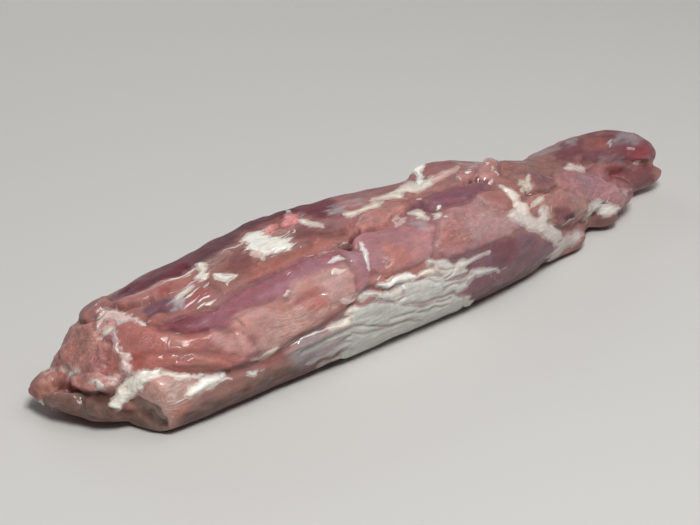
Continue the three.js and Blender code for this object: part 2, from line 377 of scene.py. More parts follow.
cell = np.floor(seen_at / SCREEN_CELL).astype(int)
cell_number = (cell[:, 0] + CELLS_BEYOND) * CELLS_DOWN + cell[:, 1] + CELLS_BEYOND
facing = normal @ view_back
nearest = np.full(cell_number.max() + 1, np.inf)
np.minimum.at(nearest, cell_number, np.where(facing > 0, depth, np.inf))
shown = (depth < nearest[cell_number] + DEEPEST_SEEN) * smooth_step(facing, *SEEN_FACING)
shown = relaxed(shown[:, None], quads, 3)[:, 0]


def round_skin(points):
    """Places as mm along and mm round from the top, the near side counting up."""
    out = points[:, 1] - SKIN_AXIS[0]
    up = points[:, 2] - SKIN_AXIS[1]
    return np.stack([points[:, 0], np.degrees(np.arctan2(-out, up)) * MM_PER_DEGREE], axis=1)


soft_round = round_skin(wandered(skin))


def patch(*corners):
    """A closed outline."""
    return {"corners": np.array(corners, float)}


def strand(widths, *points):
    """A line with its full width, or the widths spread along it."""
    spread = np.atleast_1d(np.array(widths, float))
    at = np.linspace(0, 1, len(spread))
    half = np.interp(np.linspace(0, 1, len(points)), at, spread) / 2
    return {"points": np.array(points, float), "half": half}


def gap_to(shape, at, reach):
    """Distance from places to a shape's edge, negative inside, worked out within `reach` of its box.
    Outline: least distance to an edge, signed by how many edges a ray crosses. Line: least distance
    to a stretch less its half width there."""
    outline = shape.get("corners", shape.get("points"))
    margin = reach + (shape["half"].max() if "half" in shape else 0)
    close = np.all((at > outline.min(0) - margin) & (at < outline.max(0) + margin), axis=1)
    here = at[close]
    least = np.full(len(here), np.inf)
    inside = np.zeros(len(here), bool)
    ends = np.roll(outline, -1, axis=0)
    for k in range(len(outline) - ("half" in shape)):
        edge = ends[k] - outline[k]
        share = np.clip(((here - outline[k]) @ edge) / (edge @ edge), 0, 1)
        distance = np.linalg.norm(here - outline[k] - share[:, None] * edge, axis=1)
        if "half" in shape:
            distance = distance - (shape["half"][k] * (1 - share) + shape["half"][k + 1] * share)
        else:
            level = edge[1] if edge[1] else 1e-9
            crosses = (outline[k, 1] > here[:, 1]) != (ends[k, 1] > here[:, 1])
            crossing = outline[k, 0] + (here[:, 1] - outline[k, 1]) * edge[0] / level
            inside ^= crosses & (here[:, 0] < crossing)
        least = np.minimum(least, distance)
    gap = np.full(len(at), float(reach))
    gap[close] = np.minimum(reach, np.where(inside, -least, least))
    return gap


def linear(code):
    """An sRGB hex colour as linear numbers."""
    value = np.array([int(code[i:i + 2], 16) for i in (1, 3, 5)]) / 255
    return np.where(value <= 0.04045, value / 12.92, ((value + 0.055) / 1.055) ** 2.4)


# ---------------------------------------------------------------- bellies and seams
# Each muscle swells between the seams where it meets its neighbours. The seams are thin valleys,
# and where a muscle has come away from the next one the valley opens into a dark cleft.
# Bellies: how far they rise in mm, how wide their rounded edge is in pixels, and their outline.
BELLIES = [
    (2.4, 8, patch((79, 318), (82, 310), (92, 302), (108, 297), (113, 305), (103, 312), (94, 318),
        (83, 322))),
    (1.8, 9, patch((109, 306), (122, 298), (140, 290), (158, 280), (170, 284), (168, 296), (152, 300),
        (138, 305), (120, 310))),
    (1.5, 12, patch((98, 341), (116, 326), (130, 323), (150, 325), (168, 334), (215, 331), (240, 332),
        (252, 342), (258, 354), (245, 364), (212, 371), (166, 371), (138, 376), (120, 372), (100, 360))),
    (1.4, 14, patch((244, 356), (236, 344), (232, 330), (224, 320), (240, 311), (270, 303), (290, 290),
        (296, 282), (345, 262), (354, 275), (356, 294), (350, 303), (322, 318), (290, 340), (265, 352))),
    (1.2, 8, patch((321, 284), (335, 275), (346, 268), (354, 278), (355, 294), (345, 301), (330, 301),
        (321, 294))),
    (1.6, 10, patch((155, 328), (185, 318), (215, 308), (250, 288), (284, 270), (320, 253), (340, 254),
        (345, 262), (312, 276), (292, 286), (286, 296), (258, 306), (225, 325), (195, 331), (165, 333))),
    (1.5, 10, patch((205, 270), (222, 256), (243, 244), (262, 257), (290, 250), (320, 238), (345, 236),
        (352, 240), (340, 248), (310, 256), (280, 270), (250, 284), (225, 296), (214, 290), (208, 280))),
    (1.3, 12, patch((350, 243), (358, 235), (380, 229), (400, 224), (428, 228), (437, 240), (437, 252),
        (425, 262), (400, 271), (380, 276), (371, 270), (362, 252))),
    (1.2, 7, patch((345, 252), (352, 250), (361, 253), (368, 266), (371, 280), (362, 293), (356, 288),
        (354, 272))),
    (2.4, 8, patch((352, 226), (362, 214), (384, 203), (404, 196), (424, 198), (424, 204), (408, 211),
        (396, 218), (382, 226), (366, 232), (358, 231))),
    (1.8, 9, patch((436, 224), (442, 211), (462, 203), (480, 192), (502, 189), (515, 203), (518, 222),
        (520, 230), (498, 240), (470, 252), (446, 259), (436, 250))),
    (1.2, 6, patch((479, 198), (489, 191), (503, 191), (513, 201), (513, 209), (497, 211), (485, 205))),
    (1.0, 7, patch((425, 196), (450, 188), (478, 181), (495, 184), (478, 194), (452, 204), (430, 204))),
    (1.6, 6, patch((457, 177), (460, 171), (470, 169), (475, 173), (472, 181), (462, 183))),
    (2.2, 7, patch((474, 172), (482, 160), (492, 159), (499, 167), (499, 176), (484, 180), (474, 178))),
    (1.5, 6, patch((525, 173), (541, 172), (553, 177), (557, 183), (551, 189), (537, 189), (526, 184))),
    (1.6, 10, patch((536, 192), (560, 190), (588, 195), (586, 210), (575, 220), (555, 226), (545, 214),
        (538, 205))),
    (1.6, 10, patch((558, 176), (575, 168), (598, 176), (615, 184), (625, 196), (620, 214), (606, 206),
        (590, 200), (570, 194))),
    (1.4, 9, patch((60, 352), (72, 328), (90, 318), (98, 322), (100, 340), (104, 352), (108, 372),
        (92, 378), (76, 374), (62, 362))),
    (2.8, 4, patch((69, 378), (82, 374), (100, 372), (118, 384), (108, 388), (96, 392), (82, 391),
        (70, 388))),
    (2.2, 5, patch((42, 393), (60, 391), (76, 395), (81, 404), (76, 412), (52, 408))),
    (2.0, 5, patch((84, 398), (104, 397), (124, 405), (124, 418), (100, 418), (85, 411))),
    (-2.8, 3.5, patch((128, 400), (137, 397), (148, 402), (158, 409), (165, 417), (168, 429), (158, 430),
        (148, 422), (136, 414))),
    (1.4, 2, strand((2, 4, 2), (185, 358), (194, 356), (203, 358))),
    (2.2, 3, strand((4, 9, 8, 4), (176, 364), (192, 361), (208, 361), (232, 365))),
    (1.8, 2.4, strand((3, 7, 8, 7, 4), (282, 355), (300, 346), (318, 338), (340, 328), (352, 321))),
]
# Seams: depth in mm, width in pixels, and route.
SEAMS = [
    (2.2, 2.6, strand(0, (80, 323), (95, 317), (104, 311), (112, 309), (124, 310), (138, 305), (152, 300))),
    (1.0, 3.0, strand(0, (142, 320), (158, 313), (176, 308))),
    (1.2, 3.5, strand(0, (112, 298), (132, 291), (150, 283), (168, 276), (188, 267))),
    (1.0, 3.0, strand(0, (158, 328), (170, 323), (190, 316), (214, 308))),
    (1.3, 3.0, strand(0, (146, 325), (165, 333), (185, 334), (206, 331))),
    (0.5, 2.5, strand(0, (136, 357), (150, 354), (185, 353), (212, 353), (238, 358))),
    (1.4, 4.0, strand(0, (118, 384), (134, 378), (150, 371), (166, 372), (195, 373), (226, 373), (245, 368),
        (262, 362), (285, 350), (300, 340), (320, 331), (340, 320), (352, 309))),
    (1.5, 3.0, strand(0, (352, 309), (364, 297), (372, 289), (386, 289), (402, 286))),
    (2.4, 2.0, strand(0, (341, 247), (350, 246), (351, 241), (357, 236), (359, 230))),
    (1.6, 2.0, strand(0, (359, 230), (351, 225))),
    (1.3, 2.0, strand(0, (360, 232), (372, 230), (383, 226), (392, 219), (402, 216))),
    (0.5, 3.0, strand(0, (371, 276), (384, 277), (400, 272), (416, 266), (430, 259))),
    (0.5, 2.5, strand(0, (436, 224), (436, 240), (432, 256))),
    (1.4, 3.0, strand(0, (424, 206), (440, 209), (458, 204), (476, 197))),
    (2.6, 2.4, strand(0, (466, 184), (474, 180), (484, 179), (494, 182))),
    (1.2, 2.0, strand(0, (474, 178), (475, 171), (482, 162))),
    (1.2, 2.4, strand(0, (500, 160), (500, 172), (512, 178), (524, 184))),
    (1.8, 2.4, strand(0, (527, 187), (535, 191), (552, 190), (560, 184), (553, 175))),
    (1.6, 3.0, strand(0, (516, 205), (527, 197), (533, 190))),
    (1.6, 3.5, strand(0, (585, 160), (604, 162), (626, 162), (646, 165))),
    (1.4, 3.5, strand(0, (590, 172), (604, 176), (616, 182), (624, 190))),
    (1.6, 3.0, strand(0, (549, 222), (560, 228), (572, 229), (586, 222), (594, 214))),
    (1.8, 2.4, strand(0, (66, 390), (72, 392), (84, 395), (104, 396), (118, 391), (126, 388))),
    (2.4, 3.0, strand(0, (55, 383), (62, 384), (67, 387))),
    (1.2, 3.0, strand(0, (44, 392), (52, 388), (62, 390), (76, 392))),
    (1.0, 2.5, strand(0, (92, 322), (97, 336), (101, 342), (112, 345))),
    (0.8, 4.0, strand(0, (124, 412), (138, 414), (148, 418))),
]
# Torn places, where the surface breaks in small steps: how much, soft edge in pixels, outline.
TORN = [
    (0.6, 6, patch((206, 262), (224, 251), (246, 243), (262, 258), (292, 249), (322, 236), (350, 226),
        (356, 232), (348, 245), (322, 254), (290, 262), (262, 278), (236, 290), (218, 298), (204, 290))),
    (1.0, 4, patch((350, 226), (362, 213), (384, 203), (406, 194), (430, 190), (448, 188), (428, 198),
        (424, 205), (408, 212), (396, 219), (382, 227), (364, 233))),
    (0.65, 5, patch((58, 356), (70, 330), (82, 320), (98, 320), (100, 340), (112, 346), (120, 360),
        (118, 380), (98, 392), (74, 390), (66, 376))),
    (0.8, 3, patch((130, 402), (138, 398), (148, 403), (164, 412), (167, 429), (150, 428), (132, 414))),
    (1.5, 4, patch((28, 386), (42, 366), (62, 356), (70, 372), (68, 388), (44, 404), (30, 402))),
    (0.7, 5, patch((42, 394), (80, 394), (128, 398), (126, 422), (80, 418), (44, 410))),
    (0.6, 5, patch((436, 224), (452, 212), (470, 214), (476, 240), (460, 254), (440, 252))),
    (0.7, 5, patch((500, 160), (546, 152), (600, 162), (620, 184), (628, 200), (600, 222), (560, 226),
        (530, 200), (505, 182))),
    (0.6, 5, patch((270, 302), (296, 290), (326, 290), (330, 312), (300, 322), (276, 320))),
    (0.5, 5, patch((146, 324), (178, 310), (213, 303), (216, 308), (198, 315), (165, 327))),
    (0.5, 5, patch((168, 300), (190, 284), (214, 286), (214, 304), (186, 312))),
]
RIM_SHARE = 0.35  # the part of a belly's rise that is at its rim; the rest swells across it
RIM_WIDTH = 2.5  # pixels
BELLY_SCALE = 0.62  # bellies rise this share of the height listed
BELLY_SPREAD = 1.6  # and their rounded edges are this many times as wide


def swell(gap, edge):
    """A belly's share of its full rise: a short ease at its rim, then a quarter circle over `edge`."""
    rim = smooth_step(-gap, -RIM_WIDTH / 2, RIM_WIDTH)
    return RIM_SHARE * rim + (1 - RIM_SHARE) * np.sqrt(1 - (1 - np.clip(-gap / edge, 0, 1)) ** 2)


def valleys(lines, at):
    """How deep thin valleys run at some places: each falls off from its line as exp(-(gap / width)^2)."""
    deep = 0
    for sunk, width, shape in lines:
        deep = deep + sunk * np.exp(-((gap_to(shape, at, 4 * width) / width) ** 2))
    return deep


def strongest(marks, start):
    """At each point of the skin, the most that any mark covers it, or `start` where that is more."""
    for amount, edge, shape in marks:
        start = np.maximum(start, shown * amount * smooth_step(gap_to(shape, soft_at, edge), edge, -edge))
    return start


height = np.zeros(len(skin))
for rise, edge, shape in BELLIES:
    edge = BELLY_SPREAD * edge
    height += shown * BELLY_SCALE * rise * swell(gap_to(shape, soft_at, edge), edge)
height -= shown * valleys(SEAMS, soft_at)

# ---------------------------------------------------------------- the lean's colours
# Raw pork, pale pink to brown where it has dried. Thin silverskin turns it purple, blood spots are dark
# red, and clefts and seams carry painted shade in dark red. Each zone: colour, how far it covers, its
# soft edge in pixels, outline.
LEAN = "#a5756f"
ZONES = [
    # the far roll and the silverskin behind it
    ("#6a3941", 1.0, 4, patch((106, 300), (130, 284), (150, 272), (165, 262), (182, 255), (200, 245),
        (225, 230), (255, 213), (285, 205), (312, 196), (330, 198), (345, 212), (322, 218), (298, 214),
        (280, 222), (262, 228), (244, 238), (222, 252), (206, 262), (186, 269), (165, 279), (146, 287),
        (126, 297), (112, 304))),
    ("#5c2b33", 0.9, 5, patch((196, 252), (225, 230), (255, 213), (285, 205), (300, 200), (300, 210),
        (280, 218), (262, 226), (244, 236), (222, 250), (206, 260))),
    ("#744048", 0.8, 5, patch((296, 202), (312, 196), (330, 198), (345, 212), (322, 216), (300, 212))),
    ("#945c55", 0.8, 3, patch((234, 238), (246, 231), (262, 223), (278, 218), (284, 221), (272, 226),
        (262, 230), (248, 237), (240, 241))),
    ("#96655f", 1.0, 3, patch((78, 318), (82, 309), (92, 302), (108, 297), (112, 306), (103, 312),
        (94, 318), (82, 323))),
    ("#a66f69", 1.0, 3, patch((111, 306), (124, 299), (142, 290), (160, 282), (190, 270), (198, 282),
        (178, 292), (168, 298), (152, 299), (138, 304), (120, 309))),
    ("#8d4743", 0.8, 3, strand(7, (163, 294), (167, 291))),
    ("#735058", 1.0, 3, patch((139, 313), (146, 305), (156, 301), (172, 299), (186, 296), (180, 306),
        (165, 312), (146, 319))),
    ("#a06b63", 1.0, 3, patch((125, 312), (137, 306), (148, 304), (140, 313), (146, 319), (132, 317))),
    ("#9d685f", 1.0, 3, patch((146, 324), (158, 316), (178, 310), (200, 303), (213, 303), (216, 308),
        (198, 315), (178, 321), (165, 327), (152, 328))),
    # the brown strip along the top
    ("#96685f", 1.0, 5, patch((206, 262), (224, 251), (246, 243), (262, 258), (292, 249), (322, 236),
        (350, 226), (356, 232), (348, 245), (322, 254), (290, 262), (262, 278), (236, 290), (218, 298),
        (204, 290))),
    ("#805250", 0.9, 6, patch((222, 262), (238, 254), (250, 257), (250, 270), (234, 277), (222, 274))),
    ("#6f4948", 0.8, 6, patch((292, 232), (312, 226), (334, 226), (345, 232), (330, 240), (304, 243))),
    ("#aa6c63", 0.9, 6, patch((312, 240), (322, 236), (334, 238), (340, 245), (332, 251), (316, 251))),
    ("#a06459", 0.9, 4, patch((250, 268), (280, 256), (312, 252), (330, 254), (300, 264), (270, 276),
        (246, 284))),
    # silverskin between the upper muscles
    ("#965f68", 1.0, 6, patch((156, 328), (172, 321), (196, 313), (222, 302), (240, 290), (262, 279),
        (286, 269), (318, 254), (342, 253), (348, 262), (326, 272), (300, 279), (290, 288), (284, 298),
        (262, 306), (246, 313), (226, 326), (206, 332), (178, 333))),
    ("#7c4049", 0.9, 6, patch((166, 327), (182, 320), (200, 314), (214, 312), (206, 322), (186, 328),
        (172, 331))),
    ("#a8787f", 0.8, 5, patch((256, 292), (282, 280), (312, 264), (338, 258), (322, 270), (292, 282),
        (276, 296), (256, 302))),
    # the near muscle on top, its red stretches and its pale end
    ("#b07169", 1.0, 5, patch((116, 342), (117, 328), (130, 323), (150, 325), (168, 334), (206, 333),
        (236, 331), (252, 342), (253, 354), (236, 362), (206, 371), (166, 371), (137, 376), (131, 356))),
    ("#ad6e65", 0.8, 7, patch((133, 352), (160, 350), (200, 352), (238, 358), (252, 364), (226, 372),
        (166, 370), (138, 374))),
    ("#a05850", 0.7, 4, patch((131, 352), (142, 350), (150, 356), (144, 364), (137, 374), (132, 368))),
    ("#a56862", 0.6, 5, patch((187, 334), (210, 336), (216, 346), (208, 354), (188, 350))),
    ("#c7968f", 1.0, 6, patch((216, 336), (230, 332), (243, 334), (252, 343), (253, 354), (241, 360),
        (226, 356), (217, 349))),
    ("#b67c71", 0.9, 3, patch((170, 341), (182, 339), (196, 341), (188, 348), (171, 348))),
    # the middle muscle
    ("#c4968d", 1.0, 7, patch((254, 350), (250, 336), (230, 326), (242, 312), (268, 304), (290, 298),
        (292, 284), (318, 274), (345, 264), (354, 276), (357, 294), (348, 305), (322, 319), (290, 340),
        (266, 352))),
    ("#ab7066", 0.7, 7, patch((268, 306), (282, 302), (296, 306), (294, 317), (278, 317))),
    ("#b5716a", 0.8, 8, patch((300, 296), (308, 286), (324, 290), (326, 306), (312, 314), (302, 312))),
    ("#a07a76", 0.5, 6, patch((250, 322), (268, 316), (280, 324), (270, 336), (252, 332))),
    ("#c29690", 1.0, 5, patch((321, 284), (334, 276), (346, 269), (353, 279), (354, 294), (345, 300),
        (330, 300), (321, 294))),
    ("#a6787d", 1.0, 4, patch((344, 253), (352, 250), (361, 253), (368, 266), (371, 280), (363, 293),
        (357, 290), (355, 272))),
    # the right muscle
    ("#aa787c", 1.0, 6, patch((350, 243), (358, 234), (380, 229), (400, 224), (430, 228), (438, 242),
        (437, 254), (424, 262), (400, 272), (378, 278), (371, 268), (362, 252))),
    ("#bd8886", 0.9, 8, patch((406, 234), (430, 230), (436, 242), (434, 254), (420, 262), (408, 262))),
    ("#b98078", 0.8, 8, patch((372, 276), (400, 268), (430, 258), (434, 266), (410, 276), (380, 284))),
    ("#bf8074", 0.8, 9, patch((383, 250), (394, 243), (406, 246), (409, 258), (400, 267), (388, 273),
        (382, 264))),
    # the lumpy ridge on top
    ("#b47d75", 1.0, 5, patch((350, 226), (362, 213), (384, 203), (406, 194), (430, 190), (444, 186),
        (448, 190), (428, 198), (424, 205), (408, 212), (396, 219), (382, 227), (364, 233))),
    ("#9a6259", 0.7, 3, patch((400, 202), (414, 196), (426, 198), (424, 205), (408, 210), (400, 208))),
    # silverskin to the right
    ("#845861", 1.0, 4, patch((402, 218), (412, 209), (426, 202), (420, 197), (448, 188), (476, 182),
        (496, 185), (486, 192), (474, 199), (452, 206), (432, 210), (410, 216))),
    # the long muscle on the right
    ("#ad8280", 1.0, 5, patch((436, 224), (444, 210), (466, 202), (482, 196), (502, 205), (516, 214),
        (526, 228), (498, 240), (470, 252), (446, 259), (437, 248))),
    ("#a87068", 0.7, 5, patch((479, 199), (490, 191), (503, 191), (513, 203), (512, 210), (496, 211),
        (484, 206))),
    ("#b59290", 0.7, 6, patch((466, 222), (490, 213), (506, 216), (524, 228), (504, 238), (478, 240))),
    ("#a9716a", 0.7, 5, patch((440, 226), (452, 218), (464, 222), (470, 238), (456, 250), (442, 250))),
    # the side muscle: its cut corner, its lit top, its grey film, and painted shade along its lower edge
    ("#c49a90", 1.0, 5, patch((136, 396), (150, 380), (166, 373), (182, 380), (200, 384), (218, 376),
        (214, 392), (196, 404), (182, 414), (170, 428), (160, 420), (142, 408))),
    ("#a07a70", 1.0, 7, patch((182, 414), (200, 400), (222, 384), (246, 376), (262, 366), (285, 352),
        (302, 342), (322, 332), (350, 318), (356, 336), (330, 356), (290, 372), (250, 390), (205, 416),
        (180, 428))),
    ("#bb8377", 0.8, 5, patch((170, 428), (172, 412), (182, 402), (192, 404), (188, 416), (176, 427))),
    ("#9a7a6c", 0.9, 2, patch((128, 400), (137, 397), (148, 402), (158, 409), (166, 417), (168, 430),
        (158, 431), (146, 424), (134, 414))),
    ("#a59394", 0.9, 6, patch((286, 352), (300, 342), (325, 331), (352, 318), (372, 316), (362, 340),
        (330, 356), (296, 370))),
    # painted shade: the lower edge darkened where the meat meets the floor
    ("#5f433d", 0.9, 7, patch((176, 436), (178, 420), (250, 386), (300, 364), (352, 344), (352, 362),
        (300, 384), (240, 410))),
    # the side on the right, under the silverskin
    ("#87636a", 1.0, 8, patch((446, 260), (470, 250), (498, 240), (524, 229), (540, 236), (556, 246),
        (552, 264), (530, 276), (508, 288), (484, 300), (466, 306), (462, 286), (476, 272), (464, 262))),
    ("#7d4f55", 0.8, 5, patch((492, 246), (506, 238), (516, 240), (512, 256), (498, 268), (490, 262))),
    # painted shade: the lower edge on the right darkened where the meat meets the floor
    ("#66484b", 0.9, 7, patch((450, 308), (500, 281), (556, 252), (566, 262), (500, 302), (452, 322))),
    ("#96605c", 0.7, 4, patch((262, 362), (272, 354), (284, 349), (290, 352), (280, 360), (268, 368))),
    # the cut end, with painted shade in its hollow and under its ledge
    ("#bc847b", 1.0, 6, patch((58, 356), (70, 330), (82, 320), (98, 320), (100, 340), (112, 346),
        (120, 360), (118, 380), (98, 392), (74, 390), (66, 376))),
    ("#9c7265", 0.7, 5, patch((76, 330), (92, 326), (94, 344), (86, 358), (76, 352))),
    ("#9e6869", 0.7, 8, patch((86, 362), (102, 352), (114, 358), (112, 374), (96, 378), (84, 374))),
    ("#b06f66", 0.7, 4, patch((106, 352), (118, 352), (122, 366), (116, 378), (106, 372))),
    ("#aa776b", 1.0, 4, patch((34, 384), (44, 370), (56, 370), (62, 382), (58, 392), (44, 402), (36, 396))),
    # painted shade in dark red in the small hollow beside the tip
    ("#6a2e2b", 0.9, 3, patch((56, 382), (62, 379), (68, 384), (66, 389), (58, 388))),
    ("#7e5f55", 1.0, 5, patch((36, 404), (44, 393), (60, 391), (80, 394), (106, 395), (122, 394),
        (126, 412), (150, 416), (150, 440), (110, 440), (70, 430), (40, 416))),
    # painted shadow under the ledge above the lip
    ("#5c3e37", 1.0, 3, patch((84, 396), (104, 394), (118, 390), (116, 400), (98, 402))),
    ("#7d6157", 0.9, 4, patch((126, 412), (140, 408), (154, 414), (166, 428), (152, 430), (138, 422))),
    # the tail
    ("#b6817c", 1.0, 4, patch((458, 178), (460, 171), (474, 168), (482, 160), (492, 158), (500, 165),
        (498, 178), (480, 180), (470, 184))),
    ("#9a7069", 1.0, 5, patch((498, 160), (520, 156), (546, 150), (566, 142), (572, 160), (560, 178),
        (556, 192), (534, 196), (524, 190), (505, 182), (498, 172))),
    ("#8d6064", 1.0, 3, patch((527, 175), (540, 174), (551, 179), (553, 184), (546, 187), (534, 186))),
    ("#b08078", 1.0, 6, patch((528, 196), (556, 190), (588, 194), (592, 206), (582, 218), (562, 228),
        (548, 220), (536, 210))),
    ("#774a50", 0.8, 4, patch((552, 208), (566, 204), (576, 212), (570, 224), (556, 222))),
    ("#ae8083", 1.0, 6, patch((560, 170), (580, 164), (602, 172), (620, 184), (628, 198), (622, 214),
        (604, 210), (590, 198), (568, 194))),
    ("#7d5055", 1.0, 6, patch((548, 154), (566, 142), (586, 132), (606, 128), (630, 129), (648, 140),
        (658, 156), (650, 166), (626, 164), (600, 162), (576, 162), (556, 160))),
    ("#9c645c", 0.7, 5, patch((581, 138), (598, 135), (608, 141), (602, 148), (586, 148))),
    ("#984b50", 0.9, 7, patch((624, 156), (632, 146), (644, 142), (654, 152), (652, 162), (636, 165))),
    ("#7e5052", 1.0, 6, patch((606, 166), (630, 165), (650, 166), (658, 180), (650, 188), (628, 192),
        (618, 182))),
    ("#8e3f40", 0.7, 4, patch((606, 170), (618, 166), (622, 174), (612, 180))),
    ("#835d57", 1.0, 5, patch((588, 206), (600, 204), (622, 212), (606, 228), (592, 226))),
]
# Painted shade in dark red along clefts, seams and hollows, and a few blood spots, in the same way.
PAINTED_SHADE_AND_BLOOD = [
    ("#4d1518", 1.0, 1.5, patch((341, 248), (347, 245), (351, 240), (354, 238), (353, 244), (354, 249),
        (348, 249))),
    ("#6a2a2a", 0.8, 1.2, strand((3, 1.5), (352, 241), (358, 235), (360, 230))),
    ("#6a2a2a", 0.5, 1.0, strand(1.2, (341, 231), (345, 235))),
    ("#7d3a34", 0.5, 1.2, strand(1.6, (362, 233), (372, 230), (382, 227))),
    ("#5d1f20", 0.9, 1.5, strand((3, 5, 2), (470, 181), (478, 179), (489, 180))),
    ("#7a302c", 0.7, 1.5, strand((2, 3, 1), (528, 188), (536, 191), (550, 190))),
    ("#521c20", 1.0, 1.5, strand(6, (564, 218), (569, 216))),
    ("#70302c", 0.6, 1.5, strand((1, 3, 1), (236, 320), (240, 325), (243, 328))),
    ("#8f4a40", 0.6, 2.0, strand((2, 4, 2), (82, 322), (95, 318), (106, 312), (116, 308), (134, 308),
        (150, 301))),
    ("#7d4a42", 0.3, 4.0, strand((3, 5, 3), (226, 374), (262, 364), (300, 342), (344, 317))),
    ("#7d4a42", 0.6, 2.0, strand((1, 3, 1), (376, 286), (392, 289), (402, 287))),
    ("#8a4c40", 0.6, 2.0, strand((1, 3, 1), (386, 277), (404, 272), (424, 262))),
    ("#6d4038", 0.7, 3.0, strand((2, 5, 2), (126, 414), (140, 414), (152, 420))),
    ("#8c3a35", 0.6, 2.0, strand((2, 4), (286, 224), (274, 231), (268, 236))),
]
# Thin whitish film over the lean, in the same way.
FILM = [
    ("#b9b0b4", 0.75, 2.5, patch((173, 305), (176, 299), (181, 296), (187, 299), (184, 304), (178, 309),
        (173, 309))),
    ("#bdb5b8", 0.6, 2.5, patch((328, 212), (334, 206), (346, 205), (344, 213), (332, 216))),
    ("#b3a4a6", 0.55, 2.5, strand((2, 4, 2), (333, 205), (348, 202), (366, 201))),
    ("#b9aeb2", 0.5, 3.0, strand((3, 7, 3), (412, 221), (421, 226), (432, 230))),
    ("#b0a8a8", 0.6, 2.5, strand((4, 6, 3), (456, 163), (466, 164), (476, 164))),
    ("#a9a2a4", 0.6, 3.0, strand((3, 5, 4), (530, 159), (542, 154), (556, 148))),
    ("#a69da0", 0.65, 4.0, patch((612, 142), (620, 131), (634, 131), (646, 140), (640, 145), (626, 144))),
    ("#b2a9aa", 0.6, 3.0, strand(4, (568, 144), (578, 141))),
    ("#b2a4a4", 0.5, 3.0, strand(5, (600, 161), (612, 159), (622, 161))),
    ("#cfc0bb", 0.7, 2.5, patch((336, 302), (341, 297), (348, 300), (357, 297), (357, 304), (348, 307),
        (339, 306))),
    ("#b8a7a3", 0.7, 2.5, strand((2, 3), (610, 182), (618, 186), (625, 192))),
    ("#cdbfb4", 0.7, 2.5, patch((59, 363), (64, 366), (70, 369), (79, 368), (78, 374), (70, 377),
        (64, 376))),
    ("#b7a9a0", 0.6, 2.0, strand((2, 3, 2), (44, 369), (50, 362), (56, 358))),
    ("#c3b6ae", 0.6, 2.5, patch((126, 384), (136, 377), (148, 374), (142, 384), (132, 388))),
    ("#cfc6c2", 0.6, 2.0, patch((199, 374), (206, 373), (222, 374), (222, 380), (206, 379))),
    ("#a89c9e", 0.4, 5.0, patch((290, 356), (310, 344), (346, 326), (362, 316), (372, 330), (340, 350),
        (300, 368))),
    ("#d9a8a4", 0.8, 2.0, patch((100, 332), (104, 324), (110, 322), (112, 326), (106, 333), (101, 336))),
    ("#cf8784", 0.8, 1.5, patch((102, 330), (106, 324), (110, 323), (108, 329), (103, 333))),
    ("#b0544e", 0.6, 2.5, patch((194, 296), (198, 290), (206, 288), (210, 294), (204, 299), (197, 300))),
]

PURPLE_LEAN = "#8f6468"
PURPLE_SHARE = 0.55
PURPLE_BLOTCHES = [(1, (34, 15, 15), 11), (0.4, (9, 5, 5), 12)]
PURPLE_EASE = (-0.6, 0.6)
ZONE_MOTTLE = 0.8  # how far noise moves the soft edge of a zone, as a share of that edge's width
ZONE_EDGES = [(1, (7, 3, 3), 13), (0.6, (2.6, 1.3, 1.3), 14)]

purple = PURPLE_SHARE * smooth_step(layered_noise(skin, PURPLE_BLOTCHES), *PURPLE_EASE)[:, None]
lean = linear(LEAN) * (1 - purple) + linear(PURPLE_LEAN) * purple
edge_noise = layered_noise(skin, ZONE_EDGES)


def cover(colours, zones, at, over):
    """Each zone's colour laid over the ones before it, by the ease across its mottled edge, times its
    cover."""
    for code, amount, edge, shape in zones:
        gap = gap_to(shape, at, 3 * edge) + ZONE_MOTTLE * edge * edge_noise
        share = over * amount * smooth_step(gap, edge, -edge)
        colours = colours + share[:, None] * (linear(code) - colours)
    return colours


